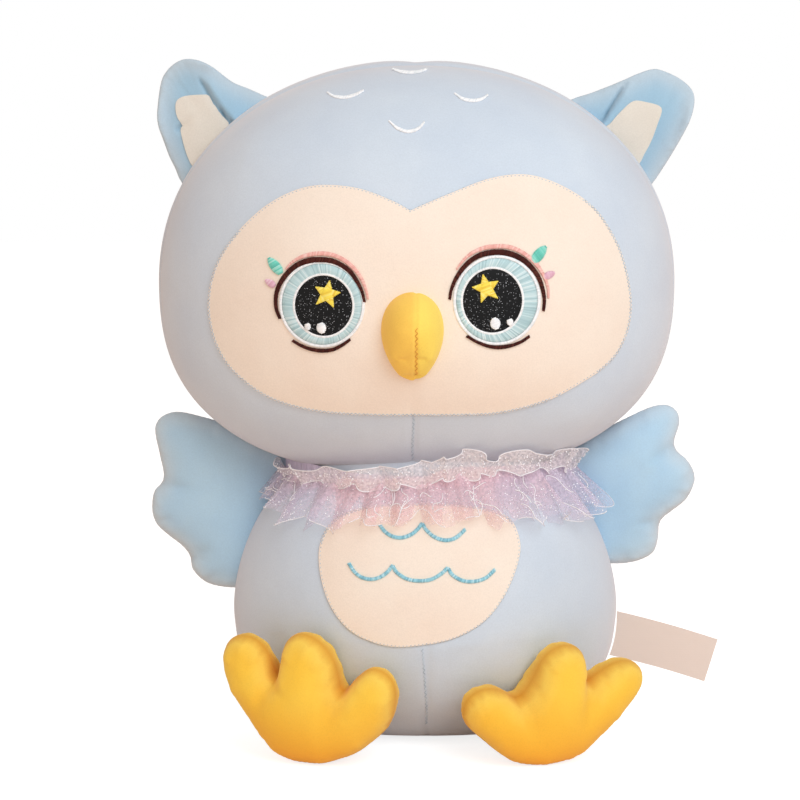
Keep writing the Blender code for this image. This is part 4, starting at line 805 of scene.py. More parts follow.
wingLook = {
    "cell": 0.0038, "fullness": 0.0150, "cap": 0.008, "rise": 0.0016, "pressure": 400.0, "frames": 10, "eased": 1,
    "creaseWide": 0.0035, "creaseDeep": 0.42, "rootX": 0.100, "rootWide": 0.030,
    "edgeSheenShare": 0.75, "edgeSheenWide": 0.009, "tuckShade": 0.5,
    "left": [(101, 112), (97, 140), (93, 168), (93, 186), (104, 192), (118, 201), (138, 211.5), (150, 217), (160, 220),
             (168, 219.5), (174, 214.5), (175.5, 206), (172, 191), (181, 182), (186, 173), (186.5, 165), (181, 153),
             (171, 145), (163, 138), (162, 127), (158, 115.5), (144, 109), (128, 108)],
    "leftCreases": [(171, 191, 148, 180), (162, 138, 142, 141)],
    "right": [(-101, 98), (-97, 130), (-93, 165), (-93, 185), (-104, 190), (-116, 195.5), (-128, 203), (-143, 209.5),
              (-158, 213.5), (-170, 215.5), (-179, 213.5), (-185, 208), (-186.5, 200), (-183.5, 184), (-181, 168),
              (-187.5, 160), (-189.5, 147), (-186.5, 136), (-178, 128), (-168, 120), (-163, 113), (-162, 105),
              (-154, 96), (-143, 92), (-120, 91)],
    "rightCreases": [(-180, 168, -160, 163), (-162, 113, -148, 122)],
}


def makeWing(side, look):
    outline = evenLoop(roundedLoop(inMetres(look[side]), 6), look["cell"])

    def place(u, v, w):
        root = min(max((abs(u) - look["rootX"]) / look["rootWide"], 0.0), 1.0)  # thinner where it meets the body
        return (u, -w * (0.35 + 0.65 * math.sqrt(root)), v)

    wing = sewPillow(f"{side}WingPillow", outline, place, look, look[f"{side}Creases"])
    dress(wing, wingBlue, "wing_velour", f"{side}_wing",
          (f"{side}_wing_front_panel", f"{side}_wing_back_panel", f"{side}_wing_stuffing"))
    return wing


for side in ("left", "right"):
    makeWing(side, wingLook)
report("wings are sewn")

earLook = {
    "cell": 0.0021, "fullness": 0.0052, "cap": 0.005, "rise": 0.0008, "pressure": 300.0, "frames": 8, "eased": 1,
    "creaseWide": 0.0018, "creaseDeep": 0.75, "edgeSheenShare": 0.9, "edgeSheenWide": 0.010, "tuckShade": 0.4,
    "foldShade": 0.8, "foldWide": 0.0008,
    "cup": 0.016, "rootLength": 0.083, "curl": 0.0030, "curlReach": 0.006,
    "rollHigh": 0.0065, "rollWide": 0.0085, "grooveDeep": 0.0016, "grooveWide": 0.0011,
    "left": [(146, 364), (154, 369.5), (165, 386.5), (175, 406), (180, 419), (181, 429), (177.5, 436), (170, 442),
             (160, 446.5), (153, 447.5), (143, 444.5), (128, 438), (111, 431.5), (99, 427.5), (88, 420), (104, 402),
             (126, 382)],
    "right": [(-158, 364), (-166.5, 371.8), (-170, 380), (-174, 388.5), (-177.8, 400), (-180.6, 409), (-181.2, 419),
              (-179, 437.5), (-175, 446), (-168, 452), (-160.5, 454.2), (-151, 452.6), (-142.5, 448.3),
              (-135.7, 443), (-129, 438.3), (-119.5, 434.5), (-109.5, 430), (-98, 424), (-112, 406), (-136, 382)],
    # the edge of the rolled fold, drawn from the tip down, with the roll on its left
    "leftFold": [(137.5, 440), (131.3, 430.7), (125.2, 420.4), (119, 412)],
    "rightFold": [(-153, 442.5), (-148.1, 435.8), (-144.3, 429.2), (-139.5, 421.6), (-130, 410)],
    "leftPatch": [(139.5, 425.5), (149, 424.6), (157, 422.3), (158.8, 418.5), (156, 410), (152.5, 400), (148, 391),
                  (143, 383), (134, 391), (121, 406), (124.5, 411), (131, 418.5)],
    "rightPatch": [(-168, 424.5), (-163.4, 428.4), (-153.8, 429.7), (-145.6, 429), (-141.8, 422.6), (-137.5, 415.6),
                   (-133, 409), (-146, 393), (-156, 382), (-160.5, 388), (-163.9, 399.8), (-165, 406.5),
                   (-164, 409.3), (-167.6, 416)],
    "leftCreases": [], "rightCreases": [(-166.5, 407, -154, 416)],
}


def makeEar(side, look):
    sign = 1 if side == "left" else -1
    low = Vector((0.1542, 0.3744) if sign > 0 else (-0.1662, 0.3744))
    high = Vector((0.0932, 0.4307) if sign > 0 else (-0.1052, 0.4307))
    along = (high - low).normalized()
    out = Vector((sign * along.y, abs(along.x)))
    outline = evenLoop(roundedLoop(inMetres(look[side]), 6), look["cell"])
    fold = inMetres(look[f"{side}Fold"])

    def place(u, v, w):
        fromRoot = Vector((u, v)) - low
        across = 2 * fromRoot.dot(along) / look["rootLength"] - 1
        ramp = min(max(fromRoot.dot(out) / (look["rootLength"] / 2), 0.0), 1.0) ** 2
        bent = look["cup"] * ramp * min(across * across, 1.0)
        edge = edgeDistance([(u, v)], outline)[0]
        bent += look["curl"] * math.exp(-(edge / look["curlReach"]) ** 2) * ramp
        if w > 0:  # the front layer carries the rolled fold
            far, share = toLine(u, v, fold)
            begun = min(share / 0.3, 1.0) * min(w / 0.003, 1.0)
            if far > 0:
                bent += begun * look["rollHigh"] * (1 - math.exp(-far / 0.0012)) * math.exp(
                    -(far / look["rollWide"]) ** 2)
            bent -= begun * look["grooveDeep"] * math.exp(-(far / look["grooveWide"]) ** 2)
        return (u, -w - bent, v)

    ear = sewPillow(f"{side}EarPillow", outline, place, look, look[f"{side}Creases"], fold)
    dress(ear, earBlue, "wing_velour", f"{side}_ear", (f"{side}_ear_front_panel", f"{side}_ear_back_panel"))
    return ear


ears = {side: makeEar(side, earLook) for side in ("left", "right")}
report("ears are sewn")

footLook = {
    "cell": 0.0040, "fullness": 0.0250, "cap": 0.010, "rise": 0.0015, "pressure": 2000.0, "frames": 10, "eased": 6,
    "creaseWide": 0.0036, "creaseDeep": 0.45, "overhang": 0.0026, "overhangReach": 0.010,
    "edgeSheenShare": 0.5, "edgeSheenWide": 0.007, "tuckShade": 0.7, "seamShade": 0.75,
    "yaw": 18, "lean": 8, "sinkWide": 0.0075, "sinkTop": 0.042,
    "leftHeel": (0.07752, -0.10573, 0.0004), "rightHeel": (-0.07782, -0.10466, 0.0004),
    "leftSink": 0.0195, "rightSink": 0.0115, "evened": 24, "evenTop": 0.045,
    "right": [(-62, 5), (-85, 4), (-100, 12), (-114, 26.5), (-123.5, 44), (-129.3, 62), (-126, 75.5), (-117, 81),
              (-106, 79), (-98.5, 70), (-93, 55), (-90.5, 71), (-85.5, 81), (-76, 85), (-65, 80), (-56.5, 69),
              (-53.5, 57), (-51.5, 47.5), (-44, 57), (-34, 64.5), (-25, 63), (-18.5, 55), (-18, 40), (-21, 29),
              (-27, 21), (-45, 9)],
    "rightCreases": [(-93, 54, -104, 36), (-51.5, 47, -58, 30)],
    "left": [(67, 5), (54.5, 6.5), (46, 10.5), (35, 18), (25, 25), (20.5, 32), (21, 40), (26.5, 47.5), (35.4, 51),
             (46, 49.5), (56, 43.5), (64.5, 54), (69.5, 66), (76, 73.5), (85, 76.7), (94, 74.5), (99, 67.5),
             (100, 58), (99, 50.5), (108, 56.5), (119, 62.5), (129.5, 63), (137, 57.5), (138.5, 49), (133.5, 38.5),
             (121.6, 27), (107, 16), (93, 9), (81, 5.5)],
    "leftCreases": [(56, 43, 64, 29), (99, 50, 92, 34)],
}


def evened(piece, times, share):
    # the cloth lies smooth where share, a rule of the point, is 1, and stays as it is where that is nought
    mesh = piece.data
    points = np.array([v.co[:] for v in mesh.vertices])
    weight = 0.5 * np.array([share(v.co) for v in mesh.vertices])[:, None]
    ends = np.array([e.vertices[:] for e in mesh.edges])
    links = np.bincount(ends.ravel(), minlength=len(points))[:, None]
    for _ in range(times):
        spread = np.zeros_like(points)
        np.add.at(spread, ends[:, 0], points[ends[:, 1]])
        np.add.at(spread, ends[:, 1], points[ends[:, 0]])
        points = (1 - weight) * points + weight * spread / links
    for vertex, spot in zip(mesh.vertices, points):
        vertex.co = spot
    mesh.update()


def makeFoot(side, look):
    sign = 1 if side == "left" else -1
    turn = Matrix.Rotation(math.radians(sign * look["yaw"]), 3, "Z") @ Matrix.Rotation(
        math.radians(look["lean"]), 3, "X")
    heel = Vector(look[f"{side}Heel"])
    shorter = math.cos(math.radians(look["yaw"]))

    def flat(x, z):  # from the front view to the foot's own cut
        return (x / 1000 - heel.x) / shorter, z / 1000

    outline = evenLoop(roundedLoop([flat(x, z) for x, z in look[side]], 6), look["cell"])
    creases = [tuple(1000 * c for c in (*flat(a, b), *flat(c, d))) for a, b, c, d in look[f"{side}Creases"]]

    def place(u, v, w):
        low = max(1 - v / look["sinkTop"], 0.0) ** 1.2
        drop = look[f"{side}Sink"] * low * (1 - math.exp(-(w / look["sinkWide"]) ** 2))
        return tuple(heel + turn @ Vector((u, -w, v - drop)))

    foot = sewPillow(f"{side}FootPillow", outline, place, look, creases)
    for vertex in foot.data.vertices:
        vertex.co.z = max(vertex.co.z, 0.0003)
    evened(foot, look["evened"], lambda p: min(max((look["evenTop"] - p.z) / look["evenTop"] * 1.8, 0.0), 1.0))
    lowest = min(vertex.co.z for vertex in foot.data.vertices)
    for vertex in foot.data.vertices:
        vertex.co.z -= lowest * max(1 - vertex.co.z / look["evenTop"], 0.0)
    dress(foot, yellow, "yellow_velour", f"{side}_foot",
          (f"{side}_foot_sole_panel", f"{side}_foot_top_panel", f"{side}_foot_stuffing"))
    return foot


for side in ("left", "right"):
    makeFoot(side, footLook)
report("feet are sewn")

# beak

beakLook = {"cuts": 27, "rise": 0.0012, "cap": 0.003, "pressure": 3000.0, "frames": 8, "eased": 2,
            "droop": 0.26, "seamX": -0.0072, "seamHalf": 0.0013, "seamDeep": 0.0006}


def makeBeak(look):
    beak = stuffedBall("beakPillow", beakShape, look["cuts"])
    for vertex in beak.data.vertices:
        vertex.co.y -= max(beakShape["centre"][2] - vertex.co.z, 0.0) * look["droop"]
    drawIn(beak, look["rise"])
    sewn = {v.index: 1.0 for v in beak.data.vertices if v.co.y > beakShape["centre"][1]}
    swell(beak, sewn, look)
    finer(beak)
    drawIn(beak, lambda p: seamDip(abs(p.x - look["seamX"]), look["seamHalf"], look["seamDeep"]))
    smooth(beak, 180)
    dress(beak, beakYellow, "yellow_velour", "head", ("beak_left_panel", "beak_right_panel", "beak_stuffing"))
    return beak


beak = makeBeak(beakLook)
report("beak is stuffed")

# applied patches


def layOn(name, outline, cell, tree, lift, thick, dome=0.0, domeWide=0.002):
    # cloth cut to an outline in the front view and laid on what is behind it
    points, faces, _rim = cutCloth(outline, cell)
    fromEdge = edgeDistance(points, outline)
    spots = []
    for (x, z), away in zip(points, fromEdge):
        spot, normal = touch(tree, x, z)
        spots.append(spot + normal * (lift + dome * (1 - math.exp(-away / domeWide))))
    piece = fromFaces(name, spots, faces)
    facesOut(piece)
    if sum(p.normal.y for p in piece.data.polygons) > 0:
        piece.data.flip_normals()
    giveWall(piece, thick, -1)
    smooth(piece, 50)
    return piece


faceLook = {
    "cell": 0.005, "lift": 0.0012, "thick": 0.0014,
    "outline": [(-11, 354), (-22, 360), (-45, 368), (-73, 369), (-98, 359), (-119, 341), (-134, 320), (-140, 297),
                (-138, 276), (-130, 258), (-117, 245), (-101, 235), (-82, 229), (-61, 226), (-35, 225),
                (-10, 225), (20, 225), (46, 226), (75, 233), (101, 246), (115, 255), (124, 265), (130, 280),
                (131, 297), (127, 317), (120, 335), (106, 355), (85, 369), (63, 376), (40, 374), (15, 365)],
}
faceOutline = evenLoop(roundedLoop(inMetres(faceLook["outline"]), 6, corners=(0,)), faceLook["cell"] * 0.6)
facePatch = layOn("facePatch", faceOutline, faceLook["cell"], headTree, faceLook["lift"], faceLook["thick"])
dress(facePatch, cream, "cream_velour", "head", ("face_patch",))
faceTree = treeOf(facePatch)

bellyLook = {
    "cell": 0.005, "lift": 0.0012, "thick": 0.0014,
    "outline": [(-4, 164), (-35, 162), (-58, 154), (-68, 140), (-69, 122), (-62, 100), (-48, 84), (-26, 76),
                (-5, 76.5), (17, 81), (36, 91), (49, 106), (58, 125), (60, 140), (52, 155), (28, 162)],
}
bellyOutline = evenLoop(roundedLoop(inMetres(bellyLook["outline"]), 6), bellyLook["cell"] * 0.6)
bellyPatch = layOn("bellyPatch", bellyOutline, bellyLook["cell"], bodyTree, bellyLook["lift"], bellyLook["thick"])
dress(bellyPatch, cream, "cream_velour", "body", ("belly_patch",))
bellyTree = treeOf(bellyPatch)
report("patches are laid")

# stitches: one stitch is modelled, and every row of thread is made of copies of it


def makeOneStitch():
    bpy.ops.object.select_all(action="DESELECT")
    bpy.ops.mesh.primitive_cylinder_add(vertices=6, radius=1, depth=0.8, rotation=(0, math.pi / 2, 0))
    stitch = bpy.context.object
    stitch.name = "oneStitch"
    bpy.ops.object.transform_apply(location=True, rotation=True, scale=True)
    for side in (-1, 1):
        bpy.ops.object.mode_set(mode="EDIT")
        bpy.ops.mesh.select_all(action="DESELECT")
        bpy.ops.object.mode_set(mode="OBJECT")
        for face in stitch.data.polygons:
            face.select = face.normal.x * side > 0.9
        bpy.ops.object.mode_set(mode="EDIT")
        bpy.ops.mesh.extrude_region_move(TRANSFORM_OT_translate={"value": (side * 0.1, 0, 0)})
        bpy.ops.transform.resize(value=(1, 0.45, 0.45))
        bpy.ops.object.mode_set(mode="OBJECT")
    points = np.array([v.co[:] for v in stitch.data.vertices])
    faces = [tuple(f.vertices) for f in stitch.data.polygons]
    bpy.data.objects.remove(stitch)
    return points, faces


stitchPoints, stitchFaces = makeOneStitch()


def stitchRow(name, rows, wide, high, dome=0.0):
    # rows holds each stitch's two ends and the cloth's normal there
    points, faces, tones = [], [], []
    for start, end, normal in rows:
        along = end - start
        length = along.length
        if length < 1e-5:
            continue
        along = np.array(along / length)
        up = np.array(normal)
        up = up - along * up.dot(along)
        up = up / np.linalg.norm(up)
        across = np.cross(up, along)
        middle = np.array((start + end) / 2)
        x, y, z = stitchPoints.T
        raised = z * high + dome * (1 - (2 * x) ** 2)
        base = len(points)
        points += list(middle + np.outer(x * length, along) + np.outer(y * wide, across) + np.outer(raised, up))
        faces += [tuple(base + i for i in face) for face in stitchFaces]
        tones += [chance.random()] * len(stitchPoints)
    piece = fromFaces(name, points, faces)
    markCloth(piece, "strand", tones)
    smooth(piece, 70)
    return piece


def pinned(tree, x, z, lift):
    spot, normal = touch(tree, x, z)
    return spot + normal * lift, normal


def acrossPath(path, widths, tree, pitch, lift, slant=18.0):
    # stitches side by side along a line, each across it and a little slanted
    ring = [Vector(p) for p in path]
    lengths = [0.0]
    for a, b in zip(ring, ring[1:]):
        lengths.append(lengths[-1] + (b - a).length)
    count = max(int(lengths[-1] / pitch), 2)
    turn = Matrix.Rotation(math.radians(90 - slant), 2)
    rows = []
    for k in range(count + 1):
        goal = lengths[-1] * k / count
        i = min(max(j for j in range(len(lengths)) if lengths[j] <= goal + 1e-12), len(ring) - 2)
        t = (goal - lengths[i]) / max(lengths[i + 1] - lengths[i], 1e-9)
        spot = ring[i].lerp(ring[i + 1], t)
        way = turn @ (ring[i + 1] - ring[i]).normalized()
        share = k / count
        half = np.interp(share, [w[0] for w in widths], [w[1] for w in widths]) / 2
        half *= 1 + chance.uniform(-0.04, 0.04)
        start, normal = pinned(tree, *(spot - way * half), lift)
        end, _normal = pinned(tree, *(spot + way * half), lift)
        rows.append((start, end, normal))
    return rows


def betweenRings(inner, outer, tree, pitch, lift):
    # radial stitches from one ring to another
    size = sum((Vector(a) - Vector(b)).length for a, b in zip(outer, outer[1:] + outer[:1]))
    count = int(size / pitch)
    rows = []
    for k in range(count):
        i = k * len(outer) / count
        a, b = int(i) % len(outer), (int(i) + 1) % len(outer)
        near = Vector(inner[a]).lerp(Vector(inner[b]), i - int(i))
        far = Vector(outer[a]).lerp(Vector(outer[b]), i - int(i))
        start, normal = pinned(tree, *near, lift)
        end, _normal = pinned(tree, *far, lift)
        rows.append((start, end, normal))
    return rows


def fillShape(outline, turnDegrees, tree, pitch, lift):
    # parallel stitches from edge to edge of an outline
    turn = Matrix.Rotation(math.radians(-turnDegrees), 2)
    back = Matrix.Rotation(math.radians(turnDegrees), 2)
    turned = [turn @ Vector(p) for p in outline]
    low, high = min(p.y for p in turned), max(p.y for p in turned)
    rows = []
    for k in range(int((high - low) / pitch)):
        level = low + (k + 0.5) * pitch
        cuts = []
        for a, b in zip(turned, turned[1:] + turned[:1]):
            if (a.y > level) != (b.y > level):
                cuts.append(a.x + (b.x - a.x) * (level - a.y) / (b.y - a.y))
        cuts.sort()
        for x0, x1 in zip(cuts[::2], cuts[1::2]):
            start, normal = pinned(tree, *(back @ Vector((x0, level))), lift)
            end, _normal = pinned(tree, *(back @ Vector((x1, level))), lift)
            rows.append((start, end, normal))
    return rows


def ovalRing(x, z, halfWidth, halfHeight, count=72):
    return [(x + halfWidth * math.cos(2 * math.pi * k / count), z + halfHeight * math.sin(2 * math.pi * k / count))
            for k in range(count)]


# eyes

eyeLook = {
    "lift": 0.0004, "thread": 0.00056, "pitch": 0.00088, "dome": 0.0006, "rimIn": 0.0006, "rimOut": 0.0011,
    "pupilCell": 0.0022, "pupilThick": 0.0009, "pupilDome": 0.0005, "waist": 0.58, "armLift": 0.0005, "hubLift": 0.0008,
    "left": {   # the toy's left eye, on the viewer's right
        "centre": (43.2, 298.6), "iris": (25.6, 26.2), "white": (27.7, 28.2), "pupil": (40.2, 298.4, 19.0, 20.3),
        "star": (36.1, 306.5), "starTips": [(-2.2, 8.6), (-9.0, 0.4), (-3.1, -9.4), (7.7, -6.7), (7.7, 4.5)],
        "glint": (42.0, 284.3, 3.3), "smallGlint": (51.2, 285.2, 2.1),
        "lid": [(13.6, 299.9), (14.5, 305.2), (17.1, 311.8), (21.1, 318.0), (26.4, 323.3), (32.6, 326.8),
                (39.6, 328.3), (46.7, 328.3), (53.7, 326.6), (59.9, 323.3), (65.2, 318.4), (69.2, 312.7),
                (71.8, 305.6), (73.0, 298.6), (72.5, 291.9)],
        "blush": [(18.0, 318.4), (22.6, 324.2), (28.2, 328.5), (35.2, 331.2), (41.4, 332.0), (48.4, 331.9),
                  (54.6, 330.3), (61.4, 326.5), (67.6, 321.0), (72.3, 314.0), (75.2, 306.5), (75.6, 300.0)],
        "lower": [(24.6, 276.3), (29.9, 273.2), (37.0, 270.3), (44.0, 269.2), (51.1, 269.9), (58.2, 272.3),
                  (63.4, 275.6)],
        "leaf": (69.6, 326.9, 13.2, 6.8, 50), "petal": (76.0, 314.0, 7.6, 4.8, 25),
    },
    "right": {
        "centre": (-66.1, 296.0), "iris": (25.1, 25.3), "white": (27.1, 27.3), "pupil": (-64.8, 295.2, 18.5, 19.3),
        "star": (-62.4, 302.9), "starTips": [(1.4, 8.4), (-7.7, 4.1), (-7.3, -7.2), (4.1, -8.8), (8.4, 0.9)],
        "glint": (-66.3, 281.4, 3.1), "smallGlint": (-74.9, 282.1, 2.0),
        "lid": [(-92.7, 286.9), (-94.8, 292.4), (-95.2, 298.6), (-94.1, 304.7), (-91.0, 310.9), (-86.6, 316.2),
                (-80.8, 320.6), (-74.2, 323.0), (-67.2, 323.7), (-60.1, 323.1), (-53.9, 320.6), (-48.6, 316.7),
                (-44.2, 310.9), (-41.1, 304.7), (-39.4, 298.1)],
        "blush": [(-88.3, 317.9), (-84.7, 321.9), (-78.8, 325.3), (-72.6, 327.0), (-65.4, 327.6), (-58.2, 326.4),
                  (-51.1, 323.0), (-45.1, 317.6), (-40.9, 311.5), (-38.3, 304.7), (-37.3, 300.0)],
        "lower": [(-84.4, 272.7), (-79.5, 269.9), (-73.3, 267.7), (-66.3, 266.8), (-59.2, 267.7), (-53.0, 270.8),
                  (-48.6, 274.1)],
        "leaf": (-95.6, 319.4, 13.0, 6.6, 132), "petal": (-98.6, 308.6, 7.6, 4.6, 150),
    },
}


def openPath(points, steps=6):
    # a smooth open line through points given in millimetres
    ends = [Vector(p) / 1000 for p in points]
    ends = [ends[0] * 2 - ends[1]] + ends + [ends[-1] * 2 - ends[-2]]
    made = []
    for a, b, c, d in zip(ends, ends[1:], ends[2:], ends[3:]):
        made += [curvePoint(a, b, c, d, k / steps) for k in range(steps)]
    return made + [ends[-2]]


def tiltedOval(x, z, length, width, degrees, count=28):
    turn = Matrix.Rotation(math.radians(degrees), 2)
    made = []
    for k in range(count):
        a = 2 * math.pi * k / count
        spot = turn @ Vector((length / 2 * math.cos(a), width / 2 * math.sin(a) * (1 - 0.15 * math.cos(a))))
        made.append((spot.x / 1000 + x / 1000, spot.y / 1000 + z / 1000))
    return made


def makeEye(side, look):
    eye, lift, thread, pitch, dome = look[side], look["lift"], look["thread"], look["pitch"], look["dome"]
    x, z = eye["centre"][0] / 1000, eye["centre"][1] / 1000
    px, pz, pupilWide, pupilHigh = (c / 1000 for c in eye["pupil"])
    pupilRing = ovalRing(px, pz, pupilWide, pupilHigh)
    irisRing = ovalRing(x, z, eye["iris"][0] / 1000, eye["iris"][1] / 1000)
    whiteRing = ovalRing(x, z, eye["white"][0] / 1000, eye["white"][1] / 1000)

    rows = betweenRings(irisRing, whiteRing, faceTree, pitch, lift * 0.5)
    white = stitchRow(f"{side}EyeWhiteRing", rows, thread, thread, 0.0004)
    dress(white, whiteThread, "white_thread", "head")
    rows = betweenRings(pupilRing, irisRing, faceTree, pitch, lift)
    iris = stitchRow(f"{side}EyeIris", rows, thread, thread, dome)
    dress(iris, irisThread, "iris_thread", "head", (f"{side}_eye_iris",))
    rows = betweenRings(ovalRing(px, pz, pupilWide - look["rimIn"], pupilHigh - look["rimIn"]),
                        ovalRing(px, pz, pupilWide + look["rimOut"], pupilHigh + look["rimOut"]), faceTree, pitch,
                        lift * 1.6)
    rim = stitchRow(f"{side}EyeInnerRing", rows, thread, thread * 0.9, 0.0002)
    dress(rim, whiteThread, "white_thread", "head")
    pupil = layOn(f"{side}EyePupil", pupilRing, look["pupilCell"], faceTree, look["pupilThick"], look["pupilThick"],
                  look["pupilDome"])
    dress(pupil, pupilCloth, "pupil_cloth", "head", (f"{side}_eye_pupil",))
    pupilTree = treeOf(pupil)

    sx, sz = eye["star"][0] / 1000, eye["star"][1] / 1000
    tips = [Vector((sx + a / 1000, sz + b / 1000)) for a, b in eye["starTips"]]
    middle = Vector((sx, sz))
    waists = [middle + ((a + b) / 2 - middle) * look["waist"] for a, b in zip(tips, tips[1:] + tips[:1])]
    rows = fillShape([p[:] for p in waists], 20, pupilTree, pitch * 0.7, look["hubLift"])
    for k, tip in enumerate(tips):
        root = middle.lerp(tip, -0.06)
        arm = [root, waists[k - 1], tip.lerp(waists[k - 1], 0.10), tip.lerp(waists[k], 0.10), waists[k]]
        way = tip - middle
        rows += fillShape([p[:] for p in arm], math.degrees(math.atan2(way.y, way.x)) + 60, pupilTree, pitch * 0.7,
                          look["armLift"])
    star = stitchRow(f"{side}EyeStar", rows, thread, thread, dome)
    dress(star, starThread, "star_thread", "head", (f"{side}_eye_star",))
    rows = []
    for spot in ("glint", "smallGlint"):
        gx, gz, radius = (c / 1000 for c in eye[spot])
        rows += fillShape(ovalRing(gx, gz, radius, radius * 1.1, 24), 20, pupilTree, pitch * 0.9, look["armLift"])
    glint = stitchRow(f"{side}EyeGlints", rows, thread, thread, dome)
    dress(glint, whiteThread, "white_thread", "head", (f"{side}_eye_glint",))

    for part, finish, slot, wide, deep in (
            ("blush", pinkThread, "pink_thread", [(0, 1.2), (0.25, 2.9), (0.7, 2.9), (1, 1.4)], 0.0002),
            ("lid", brownThread, "brown_thread", [(0, 1.9), (0.2, 3.0), (0.5, 4.1), (0.8, 3.0), (1, 1.9)], 0.0009),
            ("lower", brownThread, "brown_thread", [(0, 1.8), (0.5, 2.7), (1, 1.9)], 0.0007)):
        widths = [(at, size / 1000) for at, size in wide]
        rows = acrossPath(openPath(eye[part]), widths, faceTree, pitch, lift)
        line = stitchRow(f"{side}Eye{part.capitalize()}Line", rows, thread, thread, deep)
        dress(line, finish, slot, "head", (f"{side}_eye_{part}_line",))
    for part, finish, slot in (("leaf", tealThread, "teal_thread"), ("petal", petalThread, "petal_thread")):
        rows = fillShape(tiltedOval(*eye[part]), eye[part][4] + 78, faceTree, pitch, lift)
        line = stitchRow(f"{side}Eye{part.capitalize()}", rows, thread, thread, dome)
        dress(line, finish, slot, "head", (f"{side}_eye_{part}",))


for side in ("left", "right"):
    makeEye(side, eyeLook)
report("eyes are stitched")

# forehead marks and belly waves

markLook = {
    "width": 0.0025, "pitch": 0.00085, "lift": 0.0003, "slant": 35, "thread": 0.00052, "dome": 0.0005,
    "places": [[(-64, 429), (-60, 426.6), (-53, 425.6), (-46, 427.3), (-41, 430)],
               [(-22, 445), (-17, 443.2), (-11, 442.4), (-5, 443), (0, 444.6)],
               [(-24, 410), (-19, 405.6), (-12.5, 403.4), (-6, 405), (-2, 409)],
               [(18, 428), (23, 424.6), (29, 423.4), (35, 424.4), (39, 427)]],
}
for number, place in enumerate(markLook["places"], 1):
    wide = markLook["width"]
    rows = acrossPath(openPath(place), [(0, wide * 0.5), (0.3, wide), (0.7, wide), (1, wide * 0.5)], headTree,
                      markLook["pitch"], markLook["lift"], markLook["slant"])
    mark = stitchRow(f"foreheadMark{number}", rows, markLook["thread"], markLook["thread"], markLook["dome"])
    dress(mark, whiteThread, "white_thread", "head", (f"forehead_mark_{number}",))

waveLook = {
    "width": 0.0030, "pitch": 0.00088, "lift": 0.0003, "slant": 12, "thread": 0.00054, "dome": 0.0006,
    "upper": [(-30, 151), (-27, 147.4), (-22, 144.6), (-16, 144), (-10, 146), (-5.5, 149.6), (-3, 152.4),
              (-0.5, 148.8), (5, 144.4), (12, 142.4), (18.5, 143.8), (24.5, 148.6)],
    "lower": [(-50, 127), (-46.5, 122), (-41.5, 118.8), (-35, 118), (-29, 120), (-24.5, 123.6), (-22, 126.6),
              (-19.5, 122.8), (-13, 118.8), (-5, 117.6), (3, 118.6), (10, 122.6), (13.3, 125.4), (16, 121.4),
              (22.5, 117.6), (30, 116.8), (37.5, 118.6), (43.5, 123.4)],
}
for part in ("upper", "lower"):
    wide = waveLook["width"]
    rows = acrossPath(openPath(waveLook[part], 4), [(0, wide * 0.8), (1, wide * 0.8)], bellyTree,
                      waveLook["pitch"], waveLook["lift"], waveLook["slant"])
    wave = stitchRow(f"{part}BellyWave", rows, waveLook["thread"], waveLook["thread"], waveLook["dome"])
    dress(wave, waveThread, "wave_thread", "body", (f"belly_wave_{part}",))
report("marks and waves are stitched")

# zigzag edging of the patches, and the stitches of the middle seams


def zigzag(line, closed, reach, trees, lift):
    # a thread that goes from side to side of a line, over whichever cloth is in front
    count = len(line)
    spots = []
    for k, p in enumerate(line):
        after = line[(k + 1) % count] if closed else line[min(k + 1, count - 1)]
        before = line[k - 1] if closed else line[max(k - 1, 0)]
        way = (Vector(after) - Vector(before)).normalized()
        x, z = Vector(p) + Vector((way.y, -way.x)) * (reach if k % 2 else -reach)
        hits = [tree.ray_cast(Vector((x, -0.5, z)), Vector((0, 1, 0))) for tree in trees]
        hits = [hit for hit in hits if hit[0] is not None]
        spot, normal = min(hits, key=lambda hit: hit[0].y)[:2]
        spots.append((spot + normal * lift, normal))
    pairs = zip(spots, spots[1:] + (spots[:1] if closed else []))
    return [(a[0], b[0], a[1]) for a, b in pairs]


edgeLook = {
    "pitch": 0.00125, "reach": 0.00065, "thread": 0.00030, "lift": 0.0001,
    "chinSeam": [(-8.6, 224), (-9.0, 212), (-9.3, 200), (-9.0, 192)],
    "bellySeam": [(-3, 74), (-2, 60), (-1, 45), (0, 30), (0, 16)],
    "beakSeam": [(-7.2, 283), (-7.2, 276), (-7.2, 268), (-7.2, 260), (-7.2, 252)],
}
for name, outline, trees, rides in (
        ("facePatchEdging", faceOutline, (faceTree, headTree), "head"),
        ("bellyPatchEdging", bellyOutline, (bellyTree, bodyTree), "body")):
    rows = zigzag(evenLoop(outline, edgeLook["pitch"]), True, edgeLook["reach"], trees, edgeLook["lift"])
    edging = stitchRow(name, rows, edgeLook["thread"], edgeLook["thread"])
    dress(edging, edgeThread, "white_thread", rides)
for name, line, tree, finish, rides, pitch, reach in (
        ("chinSeamStitches", edgeLook["chinSeam"], headTree, seamThread, "head", 0.0015, 0.0007),
        ("bellySeamStitches", edgeLook["bellySeam"], bodyTree, seamThread, "body", 0.0015, 0.0007),
        ("beakSeamStitches", edgeLook["beakSeam"], treeOf(beak), beakSeamThread, "head", 0.0016, 0.0009)):
    even = evenLoop(openPath(line), pitch, closed=False)
    rows = zigzag(even, False, reach, (tree,), edgeLook["lift"])
    stitches = stitchRow(name, rows, edgeLook["thread"], edgeLook["thread"])
    dress(stitches, finish, "white_thread", rides)
report("patches are edged")

# ear patches

